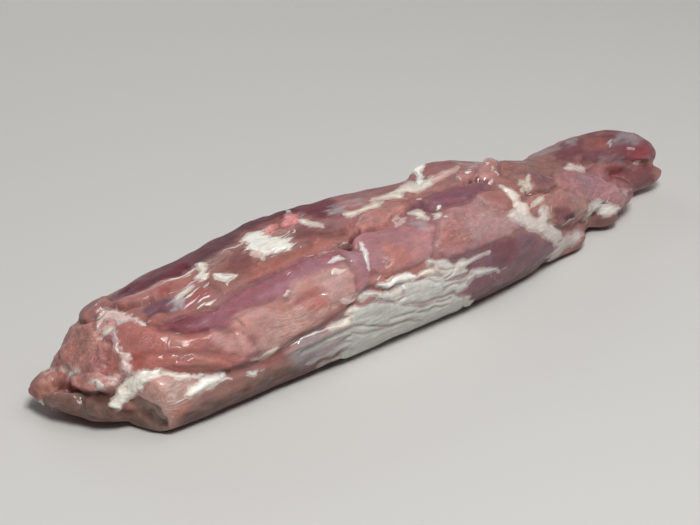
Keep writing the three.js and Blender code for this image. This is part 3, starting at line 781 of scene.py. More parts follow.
# ---------------------------------------------------------------- the fat
# Fat and torn fat skin, cream where it is thick and grey where it lies thin on the side. The knife
# and the pull that took the rest off leave it in patches whose ends fray along the fibres.
# Each piece: colour, thickness in mm, how much its edge frays, and its outline or line in pixels.
CREAM = "#e9dfd0"
WHITE = "#faf6ee"
PINKISH = "#e3c5bd"
GREY = "#bdb8b0"
FAT = [
    # at the cut end
    ("#d8cdc4", 0.9, 0.5, patch((95, 392), (96, 386), (94, 380), (98, 378), (103, 380), (107, 385),
        (104, 389), (100, 392))),
    (PINKISH, 1.3, 0.5, patch((108, 376), (113, 375), (119, 375), (119, 380), (114, 384), (110, 383))),
    (PINKISH, 1.4, 0.5, patch((117, 344), (120, 342), (123, 348), (126, 353), (130, 354), (131, 360),
        (132, 368), (131, 374), (127, 376), (122, 372), (119, 368), (121, 362), (120, 355), (117, 349))),
    ("#dcc6c6", 0.8, 0.5, strand((2, 4, 2.4), (113, 331), (115, 336), (114, 342))),
    (CREAM, 1.0, 0.5, patch((99, 340), (99, 336), (104, 331), (108, 329), (113, 329), (110, 333),
        (106, 336), (102, 338))),
    (WHITE, 1.0, 0.3, strand((1, 3.4, 2.4, 1.2), (121, 321), (127, 320), (133, 320), (139, 322),
        (145, 324))),
    (CREAM, 1.0, 0.5, strand((1, 3, 2.4, 1), (103, 321), (109, 319), (116, 317), (122, 316))),
    (CREAM, 0.9, 0.3, strand((2.6, 1.8, 1), (117, 324), (121, 322), (126, 321))),
    (PINKISH, 1.0, 0.5, patch((100, 313), (107, 309), (116, 309), (124, 311), (127, 316), (134, 318),
        (143, 322), (136, 323), (128, 321), (120, 322), (115, 325), (112, 321), (105, 322), (101, 327),
        (97, 334), (96, 325), (98, 318))),
    # along the seam over the side muscle
    ("#f4ecdf", 1.5, 0.4, patch((110, 400), (115, 397), (117, 394), (115, 391), (118, 388), (122, 384),
        (126, 379), (133, 375), (140, 372), (150, 370), (160, 369), (165, 372), (158, 376), (150, 380),
        (145, 384), (141, 390), (137, 395), (131, 398), (127, 400), (124, 403), (120, 407), (111, 405))),
    (PINKISH, 1.6, 0.5, strand((2, 3, 2), (123, 400), (126, 395), (130, 390))),
    ("#fbf1e2", 1.7, 0.1, patch((164, 371), (172, 372), (180, 373), (187, 374), (191, 377), (187, 380),
        (181, 381), (174, 377), (168, 374))),
    (WHITE, 0.8, 0.5, strand((2, 3, 1), (193, 376), (199, 376), (204, 373))),
    ("#eceae8", 0.8, 0.3, strand((2, 4, 3), (216, 377), (221, 378), (223, 375))),
    (WHITE, 0.9, 0.4, patch((244, 376), (247, 373), (251, 373), (255, 371), (256, 374), (252, 377))),
    ("#fffaee", 2.2, 0.4, patch((185, 395), (188, 388), (195, 386), (201, 382), (204, 377), (210, 375),
        (217, 376), (219, 381), (213, 385), (208, 391), (202, 393), (196, 395), (190, 398), (186, 397))),
    ("#e9d9c9", 1.1, 0.3, patch((250, 360), (256, 358), (262, 358), (266, 355), (270, 351), (274, 347),
        (279, 344), (280, 347), (277, 350), (274, 354), (268, 357), (261, 360))),
    # on the far roll and beside it
    (CREAM, 1.4, 0.5, patch((199, 262), (203, 261), (208, 263), (206, 267), (206, 271), (209, 275),
        (207, 279), (201, 281), (196, 279), (195, 276), (199, 272), (199, 267))),
    (WHITE, 1.2, 0.5, patch((214, 276), (218, 276), (222, 279), (230, 279), (236, 278), (232, 281),
        (225, 282), (218, 282), (214, 281))),
    (CREAM, 0.8, 0.5, strand((2, 4, 2), (177, 297), (184, 291), (192, 286))),
    # the large patch on top
    ("#ece7dd", 1.5, 0.9, patch((243, 240), (248, 235), (254, 231), (260, 231), (263, 234), (262, 237),
        (268, 237), (275, 238), (280, 238), (283, 243), (287, 241), (290, 245), (292, 248), (289, 250),
        (284, 249), (279, 249), (275, 251), (270, 251), (266, 253), (262, 255), (258, 255), (255, 253),
        (249, 252), (248, 246), (245, 243))),
    (PINKISH, 0.8, 0.5, patch((249, 251), (256, 252), (262, 254), (260, 258), (255, 258), (250, 257))),
    (CREAM, 0.8, 0.5, strand((2, 2.4), (261, 254), (262, 259))),
    ("#e0928e", 1.4, 0.5, patch((263, 233), (266, 228), (272, 225), (275, 226), (272, 230), (268, 236),
        (264, 237))),
    ("#de8f8c", 1.7, 0.5, patch((280, 224), (284, 219), (285, 215), (291, 214), (297, 216), (299, 221),
        (295, 225), (290, 223), (285, 224))),
    (CREAM, 1.0, 0.2, strand((3, 5, 3, 1.4, 0.5), (299, 221), (304, 221), (310, 223), (316, 224),
        (324, 225))),
    # small marks in the middle
    (WHITE, 0.9, 0.5, strand((2, 3.4, 1.2), (331, 262), (337, 260), (344, 258))),
    # along the far edge to the knob
    (CREAM, 1.2, 0.5, patch((341, 216), (347, 212), (355, 209), (362, 206), (368, 205), (372, 203),
        (383, 202), (376, 206), (368, 208), (360, 211), (352, 216), (345, 217))),
    (CREAM, 1.6, 0.5, patch((372, 200), (380, 198), (388, 195), (396, 191), (402, 187), (410, 183),
        (416, 182), (420, 184), (428, 180), (434, 176), (432, 184), (425, 189), (418, 191), (410, 192),
        (402, 194), (395, 197), (386, 198), (378, 200))),
    ("#e2bab2", 1.3, 0.5, strand((4, 6, 3), (428, 184), (440, 176), (455, 170))),
    (WHITE, 1.2, 0.5, patch((412, 172), (414, 166), (418, 164), (424, 163), (424, 168), (420, 170),
        (421, 176), (424, 181), (421, 186), (417, 184), (418, 176), (415, 172))),
    # on the right muscles
    (CREAM, 0.8, 0.5, patch((409, 214), (418, 211), (423, 211), (427, 219), (418, 218), (413, 216))),
    (CREAM, 0.8, 0.5, patch((433, 214), (440, 212), (439, 218), (434, 218))),
    (PINKISH, 0.8, 0.5, strand(1.6, (397, 224), (396, 220), (399, 217), (403, 219), (402, 224),
        (398, 225))),
    (WHITE, 0.9, 0.3, strand((0.8, 2, 2.8, 1), (360, 246), (362, 253), (366, 259), (369, 269))),
    # the fat sheet on the side
    (WHITE, 1.6, 0.5, patch((377, 285), (382, 283), (388, 280), (395, 279), (402, 276), (408, 275),
        (413, 273), (416, 276), (420, 277), (415, 280), (408, 282), (402, 285), (396, 287), (388, 287),
        (381, 286))),
    (CREAM, 1.4, 0.5, patch((416, 277), (421, 272), (427, 268), (434, 268), (432, 273), (425, 276))),
    ("#d3ccc4", 1.5, 0.5, patch((428, 260), (431, 258), (436, 261), (443, 260), (450, 262), (455, 265),
        (460, 261), (466, 261), (465, 268), (467, 272), (462, 275), (455, 277), (448, 281), (443, 284),
        (441, 279), (439, 272), (433, 271), (434, 267), (431, 264), (428, 264))),
    ("#d4d1ca", 1.2, 0.5, patch((396, 290), (404, 285), (416, 283), (425, 280), (433, 274), (440, 276),
        (445, 283), (455, 281), (462, 279), (468, 276), (474, 272), (480, 269), (488, 268), (496, 269),
        (490, 272), (482, 274), (476, 274), (470, 279), (464, 284), (467, 286), (463, 290), (458, 294),
        (452, 293), (445, 296), (438, 298), (430, 300), (420, 302), (410, 303), (402, 305), (396, 303),
        (388, 300), (382, 301), (378, 298), (384, 293))),
    ("#d6d0c8", 1.2, 0.5, patch((359, 300), (362, 296), (368, 293), (374, 292), (382, 293), (390, 290),
        (400, 292), (396, 297), (388, 300), (382, 299), (376, 296), (368, 297), (362, 301))),
    ("#c6c5be", 1.2, 0.5, patch((350, 322), (352, 316), (354, 310), (360, 307), (368, 305), (375, 303),
        (382, 302), (392, 303), (400, 304), (408, 303), (420, 304), (430, 303), (438, 300), (446, 296),
        (454, 296), (461, 297), (463, 304), (458, 314), (440, 322), (420, 330), (404, 338), (390, 343),
        (376, 348), (360, 354), (344, 360), (342, 354), (350, 346), (346, 340), (352, 332))),
    ("#c3c0ba", 0.9, 0.6, strand((7, 4, 2, 0.8), (354, 330), (338, 337), (322, 345), (302, 355))),
    ("#c3c0ba", 0.8, 0.6, strand((6, 3, 1.4, 0.6), (350, 343), (336, 349), (322, 356), (308, 363))),
    ("#cbc8c1", 0.9, 0.6, strand((5, 3, 1.4, 0.6), (352, 354), (340, 357), (330, 360), (318, 366))),
    ("#d9d5ce", 1.0, 0.5, strand((2, 5, 6, 3), (356, 321), (368, 318), (380, 315), (389, 315))),
    ("#d9d5ce", 1.0, 0.5, strand((2, 4, 3), (390, 312), (396, 305), (404, 303))),
    (CREAM, 0.9, 0.5, strand((2, 3, 2), (406, 302), (412, 300), (420, 299))),
    (CREAM, 0.9, 0.5, strand((1.5, 3, 2), (352, 317), (355, 311), (360, 308))),
    (CREAM, 1.0, 0.5, strand((1.5, 3, 4, 1.5), (328, 330), (338, 327), (347, 322), (352, 316))),
    ("#d8cfc8", 1.0, 0.5, strand((4, 5, 2.4, 1), (459, 270), (463, 262), (471, 259), (487, 254))),
    ("#c6c0b8", 1.3, 0.5, patch((460, 304), (461, 298), (464, 295), (469, 296), (471, 300), (473, 303),
        (468, 306), (463, 307))),
    ("#d8cfc8", 0.8, 0.5, strand((4, 3, 1.4), (474, 272), (486, 269), (498, 271))),
    # the strap and the fat below it
    ("#ecdcd0", 1.9, 0.1, strand((2.5, 5, 7, 8, 10, 12), (502, 186), (508, 190), (513, 196), (518, 203),
        (522, 209), (524, 215))),
    ("#ded2ca", 1.4, 0.3, patch((506, 216), (510, 212), (516, 211), (523, 213), (530, 214), (534, 218),
        (537, 219), (540, 216), (540, 209), (542, 206), (545, 210), (546, 216), (551, 222), (556, 226),
        (563, 232), (565, 238), (561, 240), (557, 244), (553, 244), (549, 241), (545, 237), (540, 233),
        (534, 230), (528, 229), (520, 225), (512, 221), (508, 219))),
    ("#ddd8d2", 1.3, 0.5, patch((541, 230), (544, 225), (551, 224), (556, 228), (557, 234), (550, 236),
        (544, 235))),
    (CREAM, 0.9, 0.5, strand((1.4, 3, 3), (531, 206), (535, 202), (540, 199))),
    (CREAM, 0.9, 0.1, strand((2.4, 1.8, 1.4, 1), (520, 182), (524, 183), (528, 185), (532, 187))),
    (CREAM, 0.9, 0.1, strand((1.2, 1.6, 2.4, 3), (527, 178), (526, 182), (525, 187), (523, 190))),
    ("#c9bab4", 1.4, 0.5, patch((558, 243), (562, 240), (568, 235), (575, 232), (581, 231), (583, 236),
        (581, 241), (575, 245), (570, 246), (563, 252), (555, 258), (551, 262), (549, 259), (555, 250))),
    ("#dad2cb", 1.2, 0.5, patch((587, 218), (589, 210), (591, 205), (596, 201), (600, 203), (605, 205),
        (610, 205), (616, 205), (617, 209), (613, 214), (608, 217), (603, 216), (598, 211), (593, 210),
        (592, 216), (589, 220))),
    ("#ecdad0", 1.3, 0.2, patch((565, 165), (570, 163), (576, 165), (584, 167), (586, 170), (580, 172),
        (572, 171), (566, 169))),
    (WHITE, 1.2, 0.2, strand((2, 4, 3), (41, 401), (41, 405), (40, 409))),
]
FAR_FAT = [  # out of the photograph's sight: mm along, and mm round from the top
    (CREAM, 1.2, 0.8, strand((1, 4, 6, 3, 1), (-96, -44), (-70, -47), (-44, -46), (-20, -49), (4, -47))),
    (CREAM, 0.9, 0.8, strand((1, 3, 1), (14, -40), (36, -43), (60, -40))),
    (GREY, 0.8, 0.8, patch((-30, -62), (-10, -60), (14, -62), (28, -66), (8, -70), (-16, -69))),
    (CREAM, 0.8, 0.8, strand((1, 2.4, 1), (70, -34), (86, -37), (104, -34))),
]
# Wisps, in the same way: strands and smears so thin that the lean shows through, and a painted highlight.
WISPS_AND_GLINT_LINE = [
    # at the cut end
    ("#cfc0c0", 0.4, 0.2, strand((0.8, 1.2, 1.4, 0.8), (140, 312), (143, 307), (148, 304), (154, 302))),
    (PINKISH, 0.4, 0.5, strand((1, 2, 1), (146, 323), (150, 322), (154, 321))),
    (GREY, 0.5, 0.5, strand(2, (94, 318), (99, 314))),
    (GREY, 0.5, 0.5, strand(1.5, (103, 310), (110, 308))),
    (PINKISH, 0.5, 0.5, strand(2, (94, 311), (96, 309))),
    (PINKISH, 0.4, 0.5, strand(1.8, (98, 351), (99, 348))),
    (CREAM, 0.5, 0.5, patch((66, 375), (70, 371), (75, 369), (79, 371), (75, 374), (70, 376))),
    # along the seam over the side muscle
    (CREAM, 0.5, 0.5, strand((1, 2.5, 1), (192, 386), (196, 384), (200, 385))),
    (CREAM, 0.5, 0.5, strand((2, 3, 2), (221, 383), (226, 380), (232, 380))),
    (WHITE, 0.5, 0.5, strand((1.5, 3, 1), (245, 376), (251, 374), (256, 371))),
    (GREY, 0.5, 0.5, strand((1, 2.5, 1), (257, 372), (261, 370), (266, 368))),
    (CREAM, 0.5, 0.5, strand((1, 1.6, 1), (282, 348), (290, 345), (300, 339))),
    (GREY, 0.6, 0.5, strand((1, 3, 1.5), (292, 355), (299, 353), (307, 347))),
    # a painted highlight: a thin white line where glints run along the crest
    (WHITE, 0.5, 0.5, strand((0.8, 2, 0.8), (291, 347), (302, 341), (314, 336), (326, 330), (338, 326))),
    (WHITE, 0.6, 0.5, strand((1, 2, 1), (172, 407), (178, 402), (187, 397))),
    (CREAM, 0.4, 0.5, strand((0.8, 1.2, 0.6), (162, 393), (170, 388), (178, 383))),
    # on the far roll and beside it
    (CREAM, 0.6, 0.3, strand((1, 1.6, 3, 2.6, 3, 2, 1), (158, 289), (166, 284), (174, 280), (182, 277),
        (188, 272), (194, 269), (198, 268))),
    (CREAM, 0.4, 0.3, strand((0.8, 1.6, 0.8), (181, 281), (186, 277), (190, 273))),
    (PINKISH, 0.4, 0.3, strand((1.4, 1, 1.8, 2, 1), (171, 293), (178, 290), (185, 286), (191, 282),
        (198, 279))),
    (CREAM, 0.5, 0.3, patch((175, 297), (179, 292), (185, 288), (190, 285), (188, 289), (184, 293),
        (180, 296))),
    (PINKISH, 0.4, 0.3, strand((0.8, 1.6, 1.4, 0.8), (185, 291), (190, 287), (195, 284), (199, 280))),
    (CREAM, 0.6, 0.3, strand((1.4, 2.8, 1.8, 0.8), (184, 298), (190, 294), (197, 290), (202, 285))),
    (PINKISH, 0.4, 0.3, strand((0.8, 1.4, 0.8), (187, 297), (192, 293), (195, 292))),
    ("#eec2bb", 0.6, 0.3, strand((0.8, 2.6, 3, 1), (180, 310), (186, 305), (192, 301), (199, 296))),
    (PINKISH, 0.4, 0.3, strand((0.8, 1.4, 0.8), (201, 297), (205, 295), (208, 294))),
    (WHITE, 0.5, 0.3, strand((0.8, 2, 2.2, 2), (195, 303), (199, 301), (203, 299), (208, 298))),
    (CREAM, 0.6, 0.3, strand((1.6, 2.6, 1.2), (197, 308), (201, 305), (206, 302))),
    (CREAM, 0.5, 0.3, strand((1.4, 3.2, 1.6, 0.8), (204, 305), (208, 303), (212, 301), (216, 299))),
    (PINKISH, 0.3, 0.3, strand((0.8, 1.2, 0.8), (190, 312), (197, 310), (203, 307))),
    (CREAM, 0.5, 0.5, strand((1.8, 1.8, 1.4, 0.8), (233, 281), (226, 285), (224, 289), (223, 293),
        (220, 295))),
    (GREY, 0.5, 0.5, strand(3, (205, 288), (208, 285))),
    (PINKISH, 0.5, 0.5, strand((1, 2, 2.4, 1), (221, 255), (228, 250), (236, 247), (244, 241))),
    (PINKISH, 0.4, 0.5, strand(1.2, (209, 261), (214, 259))),
    # the large patch on top
    (CREAM, 0.6, 0.5, strand((3, 2, 1), (277, 238), (284, 234), (291, 229))),
    (CREAM, 0.6, 0.5, strand((3, 2, 1), (282, 242), (288, 236), (293, 231))),
    (CREAM, 0.5, 0.5, strand((2, 2, 1), (276, 251), (284, 247), (298, 244))),
    (CREAM, 0.5, 0.5, strand((1.6, 1), (269, 256), (278, 252))),
    (CREAM, 0.5, 0.2, strand((1.2, 1, 0.6), (271, 257), (280, 251), (289, 244))),
    (CREAM, 0.6, 0.2, strand((1.4, 2.2, 1, 0.6), (274, 250), (282, 243), (288, 237), (294, 229))),
    (CREAM, 0.6, 0.2, strand((2, 2, 1.2, 0.6), (284, 248), (290, 247), (295, 245), (300, 242))),
    (CREAM, 0.5, 0.5, strand(2, (293, 232), (294, 229))),
    (GREY, 0.6, 0.5, patch((284, 214), (286, 211), (291, 210), (290, 214))),
    (GREY, 0.4, 0.5, strand((0.8, 1.4, 0.8), (298, 218), (303, 215), (309, 213))),
    # small marks in the middle
    (PINKISH, 0.5, 0.5, strand((1, 2, 1), (184, 331), (179, 332), (174, 335))),
    (PINKISH, 0.6, 0.5, strand((1, 2.2, 2), (171, 340), (168, 345), (169, 349))),
    (PINKISH, 0.5, 0.5, strand((1.2, 1.6, 1), (170, 348), (178, 347), (184, 348))),
    (PINKISH, 0.4, 0.5, strand(1.2, (162, 348), (166, 348))),
    (PINKISH, 0.6, 0.5, patch((329, 276), (331, 270), (335, 268), (341, 270), (347, 269), (343, 273),
        (336, 276))),
    (PINKISH, 0.5, 0.5, strand((1.6, 2, 1), (284, 279), (286, 275), (290, 273))),
    (PINKISH, 0.6, 0.5, patch((283, 296), (284, 290), (287, 291), (289, 296), (286, 298))),
    (PINKISH, 0.5, 0.5, strand((0.8, 1.6, 1), (339, 247), (343, 244), (348, 241))),
    (PINKISH, 0.4, 0.5, strand((0.8, 1.2, 0.8), (320, 254), (326, 253), (332, 252))),
    (PINKISH, 0.4, 0.5, strand(2, (302, 249), (303, 248))),
    (PINKISH, 0.4, 0.5, strand(1.2, (308, 257), (314, 255))),
    ("#d9bcc4", 0.4, 0.3, strand((1, 1.6, 0.8), (209, 316), (214, 313), (220, 309))),
    # along the far edge to the knob
    (PINKISH, 0.5, 0.5, strand((1, 2, 1), (426, 180), (430, 176), (434, 172))),
    (PINKISH, 0.5, 0.5, strand((1, 2, 1), (456, 172), (459, 179), (466, 183))),
    (WHITE, 0.6, 0.5, strand(4, (467, 174), (469, 174))),
    (PINKISH, 0.5, 0.5, strand(2.4, (468, 169), (470, 168))),
    (WHITE, 0.5, 0.5, strand((1.4, 3), (484, 165), (488, 167))),
    (WHITE, 0.5, 0.5, strand((1.4, 1.6, 3), (491, 170), (494, 174), (497, 175))),
    (PINKISH, 0.5, 0.5, strand(3, (491, 180), (493, 179))),
    # on the right muscles
    (WHITE, 0.5, 0.5, strand(3, (437, 207), (439, 207))),
    ("#c39c94", 0.5, 0.2, strand((0.8, 1.6, 1.6, 1.2, 0.8), (538, 173), (549, 177), (556, 182), (553, 188),
        (544, 190), (534, 188))),
    (CREAM, 0.4, 0.5, strand(2, (442, 219), (445, 219))),
    (PINKISH, 0.5, 0.5, strand(3.5, (418, 201), (422, 202))),
    (PINKISH, 0.4, 0.5, strand((1, 0.6), (490, 199), (495, 204))),
    (CREAM, 0.5, 0.5, strand(3, (377, 280), (378, 278))),
    # the fat sheet on the side
    (CREAM, 0.5, 0.5, strand((1, 2, 1), (384, 279), (389, 278), (394, 277))),
    (GREY, 0.5, 0.5, strand((1, 2, 1), (318, 341), (330, 334), (342, 328))),
    (GREY, 0.5, 0.5, strand((1, 3, 1), (331, 338), (337, 335), (342, 336))),
    (PINKISH, 0.5, 0.5, patch((336, 301), (341, 298), (348, 301), (356, 298), (356, 303), (348, 306),
        (340, 305))),
    (GREY, 0.5, 0.5, strand((1.6, 1), (484, 274), (497, 280))),
    (GREY, 0.5, 0.5, strand((1.2, 1.6), (500, 270), (505, 267))),
    # the strap and the fat below it
    (PINKISH, 0.5, 0.5, strand((1.4, 2, 1.4), (548, 213), (549, 209), (549, 206))),
    (GREY, 0.5, 0.5, strand((2, 3), (564, 225), (567, 220), (570, 221))),
    (GREY, 0.6, 0.5, strand((2, 4), (607, 197), (609, 204))),
    (GREY, 0.4, 0.5, strand((3, 4), (611, 146), (612, 141))),
    ("#c9a59f", 0.5, 0.5, strand(4, (628, 150), (633, 149))),
    ("#c9a59f", 0.5, 0.5, strand(5, (636, 164), (640, 163))),
]
FAR_WISPS = [
    (PINKISH, 0.6, 0.8, strand((1, 3, 1), (-112, -34), (-98, -31), (-84, -32))),
    (GREY, 0.6, 0.8, strand((2, 4, 2), (-80, -70), (-60, -72), (-42, -70))),
]
FAT_FOLDS = [  # valleys that crumple the side's fat, as the seams above
    (1.2, 1.6, strand(0, (352, 325), (366, 326), (384, 325), (404, 321), (424, 317))),
    (1.4, 1.8, strand(0, (360, 303), (370, 300), (378, 299), (384, 302), (394, 303))),
    (1.0, 1.4, strand(0, (398, 300), (404, 296), (402, 292))),
    (1.0, 1.6, strand(0, (404, 305), (420, 306), (436, 303), (450, 300))),
    (1.0, 1.6, strand(0, (390, 318), (410, 313), (430, 309), (446, 305))),
    (0.9, 1.4, strand(0, (436, 262), (438, 268), (446, 270), (454, 267))),
    (0.9, 1.4, strand(0, (444, 281), (452, 274), (456, 266))),
    (0.9, 1.6, strand(0, (414, 280), (430, 279), (440, 282), (444, 290))),
    (1.0, 1.4, strand(0, (446, 288), (456, 284), (466, 279))),
    (0.8, 1.4, strand(0, (352, 333), (368, 332), (384, 328))),
]

FAT_EDGE = 0.9
FAT_REACH = 9.0  # mm from the fat beyond which nothing about it matters


def fat_over(points, over, photo_pieces, far_pieces):
    """The fat at some points of the skin, where `over` is 1 in the photograph's sight: the least gap in
    mm to any piece, the colour and thickness of the nearest piece, and the most that any rises, which
    goes up from its edge as 1 - exp(-inside / FAT_EDGE)."""
    soft, fray = wandered(points), frayed(points)
    places = (
        (in_photo(soft)[0], in_photo(fray)[0], PIXEL, over, photo_pieces),
        (round_skin(soft), round_skin(fray), 1, 1 - over, far_pieces),
    )
    gaps = np.full(len(points), FAT_REACH)
    colours = np.tile(linear(CREAM), (len(points), 1))
    nearest_thick = np.ones(len(points))
    rise = np.zeros(len(points))
    for soft_place, frayed_place, unit, seen, pieces in places:
        for code, thick, share, shape in pieces:
            at = soft_place + share * (frayed_place - soft_place)
            gap = gap_to(shape, at, FAT_REACH / unit) * unit + (1 - seen) * FAT_REACH
            colours = np.where((gap < gaps)[:, None], linear(code), colours)
            nearest_thick = np.where(gap < gaps, thick, nearest_thick)
            gaps = np.minimum(gaps, gap)
            rise = np.maximum(rise, thick * (1 - np.exp(np.minimum(gap, 0) / FAT_EDGE)))
    return gaps, colours, nearest_thick, rise


lean = cover(lean, ZONES, soft_at, shown)
lean = cover(lean, FILM, frayed_at, shown)
# painted shade in dark red along the clefts, seams and hollows, and a few blood spots
lean = cover(lean, PAINTED_SHADE_AND_BLOOD, soft_at, shown)
fat_gap, fat_colour, _, _ = fat_over(skin, shown, FAT, FAR_FAT)
wisp_and_glint_gap, _, _, _ = fat_over(skin, shown, WISPS_AND_GLINT_LINE, FAR_WISPS)

# ---------------------------------------------------------------- the far side and the underside
# What the photograph doesn't show is finished alike: silverskin, brown lean and strips of fat,
# by mm along and mm round from the top. The far side counts down, and the underside is near 94.
FAR_ZONES = [
    ("#80585f", 0.9, 3, patch((-120, -26), (-80, -22), (-20, -18), (40, -22), (60, -34), (10, -44),
        (-60, -46), (-115, -40))),
    ("#a06c65", 0.8, 3, patch((-126, -46), (-70, -50), (0, -48), (60, -42), (90, -48), (60, -62),
        (-20, -64), (-110, -60))),
    ("#8a6062", 0.8, 4, patch((30, -30), (90, -24), (140, -30), (150, -44), (100, -40), (50, -38))),
    ("#b3857d", 0.7, 4, patch((-90, -66), (-30, -66), (20, -62), (60, -66), (20, -80), (-60, -82))),
]
FAR_SEAMS = [
    (1.6, 2.2, strand(0, (-122, -44), (-80, -48), (-20, -46), (30, -42), (70, -44), (110, -40))),
    (1.2, 2.0, strand(0, (-60, -26), (-20, -22), (30, -24), (60, -30))),
    (1.2, 2.4, strand(0, (-100, -64), (-40, -66), (30, -64), (80, -60))),
]
hidden = 1 - shown
lean = cover(lean, FAR_ZONES, soft_round, hidden)
height -= hidden * valleys(FAR_SEAMS, soft_round)

# ---------------------------------------------------------------- the meat
# Raw meat is never even: it swells and dips over a few millimetres, its bundles of fibres stand
# out as fine ridges along it, and where it has been torn it breaks in small steps. The lip runs up
# into the cut end without a crease, and the meat is pressed flat where it rests.
JOINED = patch((28, 384), (40, 364), (58, 348), (78, 358), (82, 378), (68, 386), (50, 392), (36, 404))
RELIEF = [  # how high it swells, the length and thickness of a swell, and its seed
    (0.45, (13, 8, 8), 21),
    (0.3, (6, 4, 4), 22),
    (0.22, (16, 2.2, 2.2), 23),
    (0.1, (3.6, 1.8, 1.8), 25),
]
FLAKES = [(1.7, (9, 4.5, 4.5), 26), (0.8, (3.6, 1.9, 1.9), 27)]
CRUMBS = [(0.12, (2.4, 1.6, 1.6), 28)]
FAR_TORN = 0.3  # how torn the side is that the photograph doesn't show
REST_EASE = (0.4, 5)  # heights between which the relief fades in above the table
STEP_RISE = 0.6
STEP_EASE = 0.14  # share of a step's tread that its riser takes
CREST_LIGHT_AND_HOLLOW_SHADE = 0.16  # painted light on the crests of the relief, painted shade in its hollows
CREST_FULL = 0.3
CREST_ROUNDS = 12  # rounds of easing that the relief is compared with, to find its crests
SMEAR_GAP = (1.4, -0.2)  # gaps to the fat between which the smear round it comes in
FILLED = 0.7  # the share of the relief that thick fat has filled
FILLED_GAP = (0.5, -1.5)  # gaps to the fat between which it fills in
LIP_EASE = (6, -2)  # gaps to the lip in pixels between which its crease is eased away
LIP_ROUNDS = 40
LAST_EASE = 0.2  # share of one round that eases the finished skin
DAMP = 0.3  # the wetness of all the lean, except what is wetter or dry
DRIEST = 0.04
DRY_EDGE = 4


def steps_of(values):
    """Smooth values turned into treads with short steep risers between them."""
    low = np.floor(values)
    return low + smooth_step(values - low, 0.5 - STEP_EASE, 0.5 + STEP_EASE)


torn = strongest(TORN, FAR_TORN * hidden)
rough = layered_noise(skin, RELIEF)
rough += torn * (STEP_RISE * steps_of(layered_noise(skin, FLAKES)) + layered_noise(skin, CRUMBS))
height += rough * (1 - FILLED * smooth_step(fat_gap, *FILLED_GAP))
crests = height - relaxed(height[:, None], quads, CREST_ROUNDS)[:, 0]
# painted light and shade: the lean made paler on the relief's crests and darker in its hollows
lean = lean * (1 + CREST_LIGHT_AND_HOLLOW_SHADE * np.clip(crests / CREST_FULL, -1, 1))[:, None]
joined = shown * smooth_step(gap_to(JOINED, seen_at, LIP_EASE[0]), *LIP_EASE)
eased = skin + joined[:, None] * (relaxed(skin, quads, LIP_ROUNDS) - skin)
pressed = smooth_step(skin[:, 2], *REST_EASE)
finished = eased + normal * (height * pressed)[:, None]
finished = relaxed(finished, quads, 1, LAST_EASE)
finished[:, 2] = np.maximum(finished[:, 2], 0)

# Where moisture stands on the meat: how much, soft edge in pixels, outline or line.
WET = [
    (1.0, 3, strand((4, 9, 7, 3), (174, 362), (192, 361), (210, 362), (234, 366))),
    (0.8, 5, patch((164, 384), (180, 378), (200, 380), (196, 396), (178, 408), (166, 404))),
    (0.9, 4, strand((4, 8, 8, 5), (196, 384), (222, 377), (248, 370), (270, 362))),
    (1.0, 4, strand((4, 8, 6), (282, 352), (310, 338), (346, 318))),
    (0.9, 5, patch((286, 308), (300, 292), (330, 288), (334, 304), (310, 322), (290, 326))),
    (0.8, 5, patch((288, 350), (310, 342), (352, 322), (372, 326), (350, 346), (310, 360), (290, 364))),
    (0.8, 6, patch((372, 262), (384, 240), (428, 236), (430, 262), (408, 276), (384, 284))),
    (0.7, 5, patch((452, 176), (480, 156), (504, 158), (504, 184), (470, 190))),
    (0.7, 6, patch((40, 376), (70, 350), (112, 346), (124, 380), (110, 416), (60, 408))),
    (0.9, 5, patch((48, 394), (84, 396), (120, 402), (120, 414), (70, 416), (48, 406))),
    (0.8, 6, patch((130, 400), (160, 396), (176, 424), (166, 438), (140, 424))),
    (0.8, 4, patch((440, 226), (452, 212), (482, 196), (506, 196), (512, 208), (480, 212), (452, 236))),
    (0.6, 6, patch((520, 176), (560, 170), (600, 196), (590, 222), (548, 214), (526, 200))),
    (0.7, 5, patch((620, 150), (650, 150), (664, 180), (640, 190), (622, 178))),
    (0.5, 8, patch((396, 212), (440, 200), (520, 212), (520, 232), (460, 250), (430, 240))),
]
DRY = [  # silverskin, which stays dull
    patch((100, 304), (130, 286), (165, 262), (200, 245), (250, 215), (310, 190), (360, 196), (345, 212),
        (300, 222), (262, 228), (222, 252), (186, 269), (146, 287), (112, 304)),
    patch((132, 322), (146, 300), (176, 292), (222, 300), (250, 286), (300, 262), (342, 252), (348, 262),
        (300, 281), (262, 307), (228, 328), (206, 336), (166, 336), (140, 330)),
]
# Where the meat is paler along its fibres, partly with painted glints, in the same way.
HAZE_AND_GLINTS = [
    (0.36, 6, patch((262, 324), (300, 306), (328, 302), (340, 306), (322, 320), (296, 336), (268, 348))),
    (0.4, 4, patch((380, 256), (392, 256), (396, 268), (384, 274))),
    (0.24, 6, patch((440, 226), (452, 210), (484, 200), (512, 210), (520, 226), (480, 240), (450, 246))),
    (0.32, 6, patch((250, 284), (290, 264), (330, 244), (352, 240), (330, 256), (290, 270), (256, 290))),
    (0.28, 6, patch((62, 366), (72, 334), (94, 322), (112, 346), (114, 374), (90, 388))),
    (0.34, 5, patch((150, 396), (160, 380), (200, 384), (190, 404), (172, 422))),
    (0.24, 6, patch((556, 196), (570, 170), (610, 184), (620, 204), (588, 216))),
    (0.24, 6, patch((126, 326), (160, 330), (200, 340), (196, 352), (140, 350))),
]
dry = strongest([(1, DRY_EDGE, shape) for shape in DRY], np.zeros(len(skin)))
wet = strongest(WET, DAMP - (DAMP - DRIEST) * dry)
haze_and_glints = strongest(HAZE_AND_GLINTS, np.zeros(len(skin)))


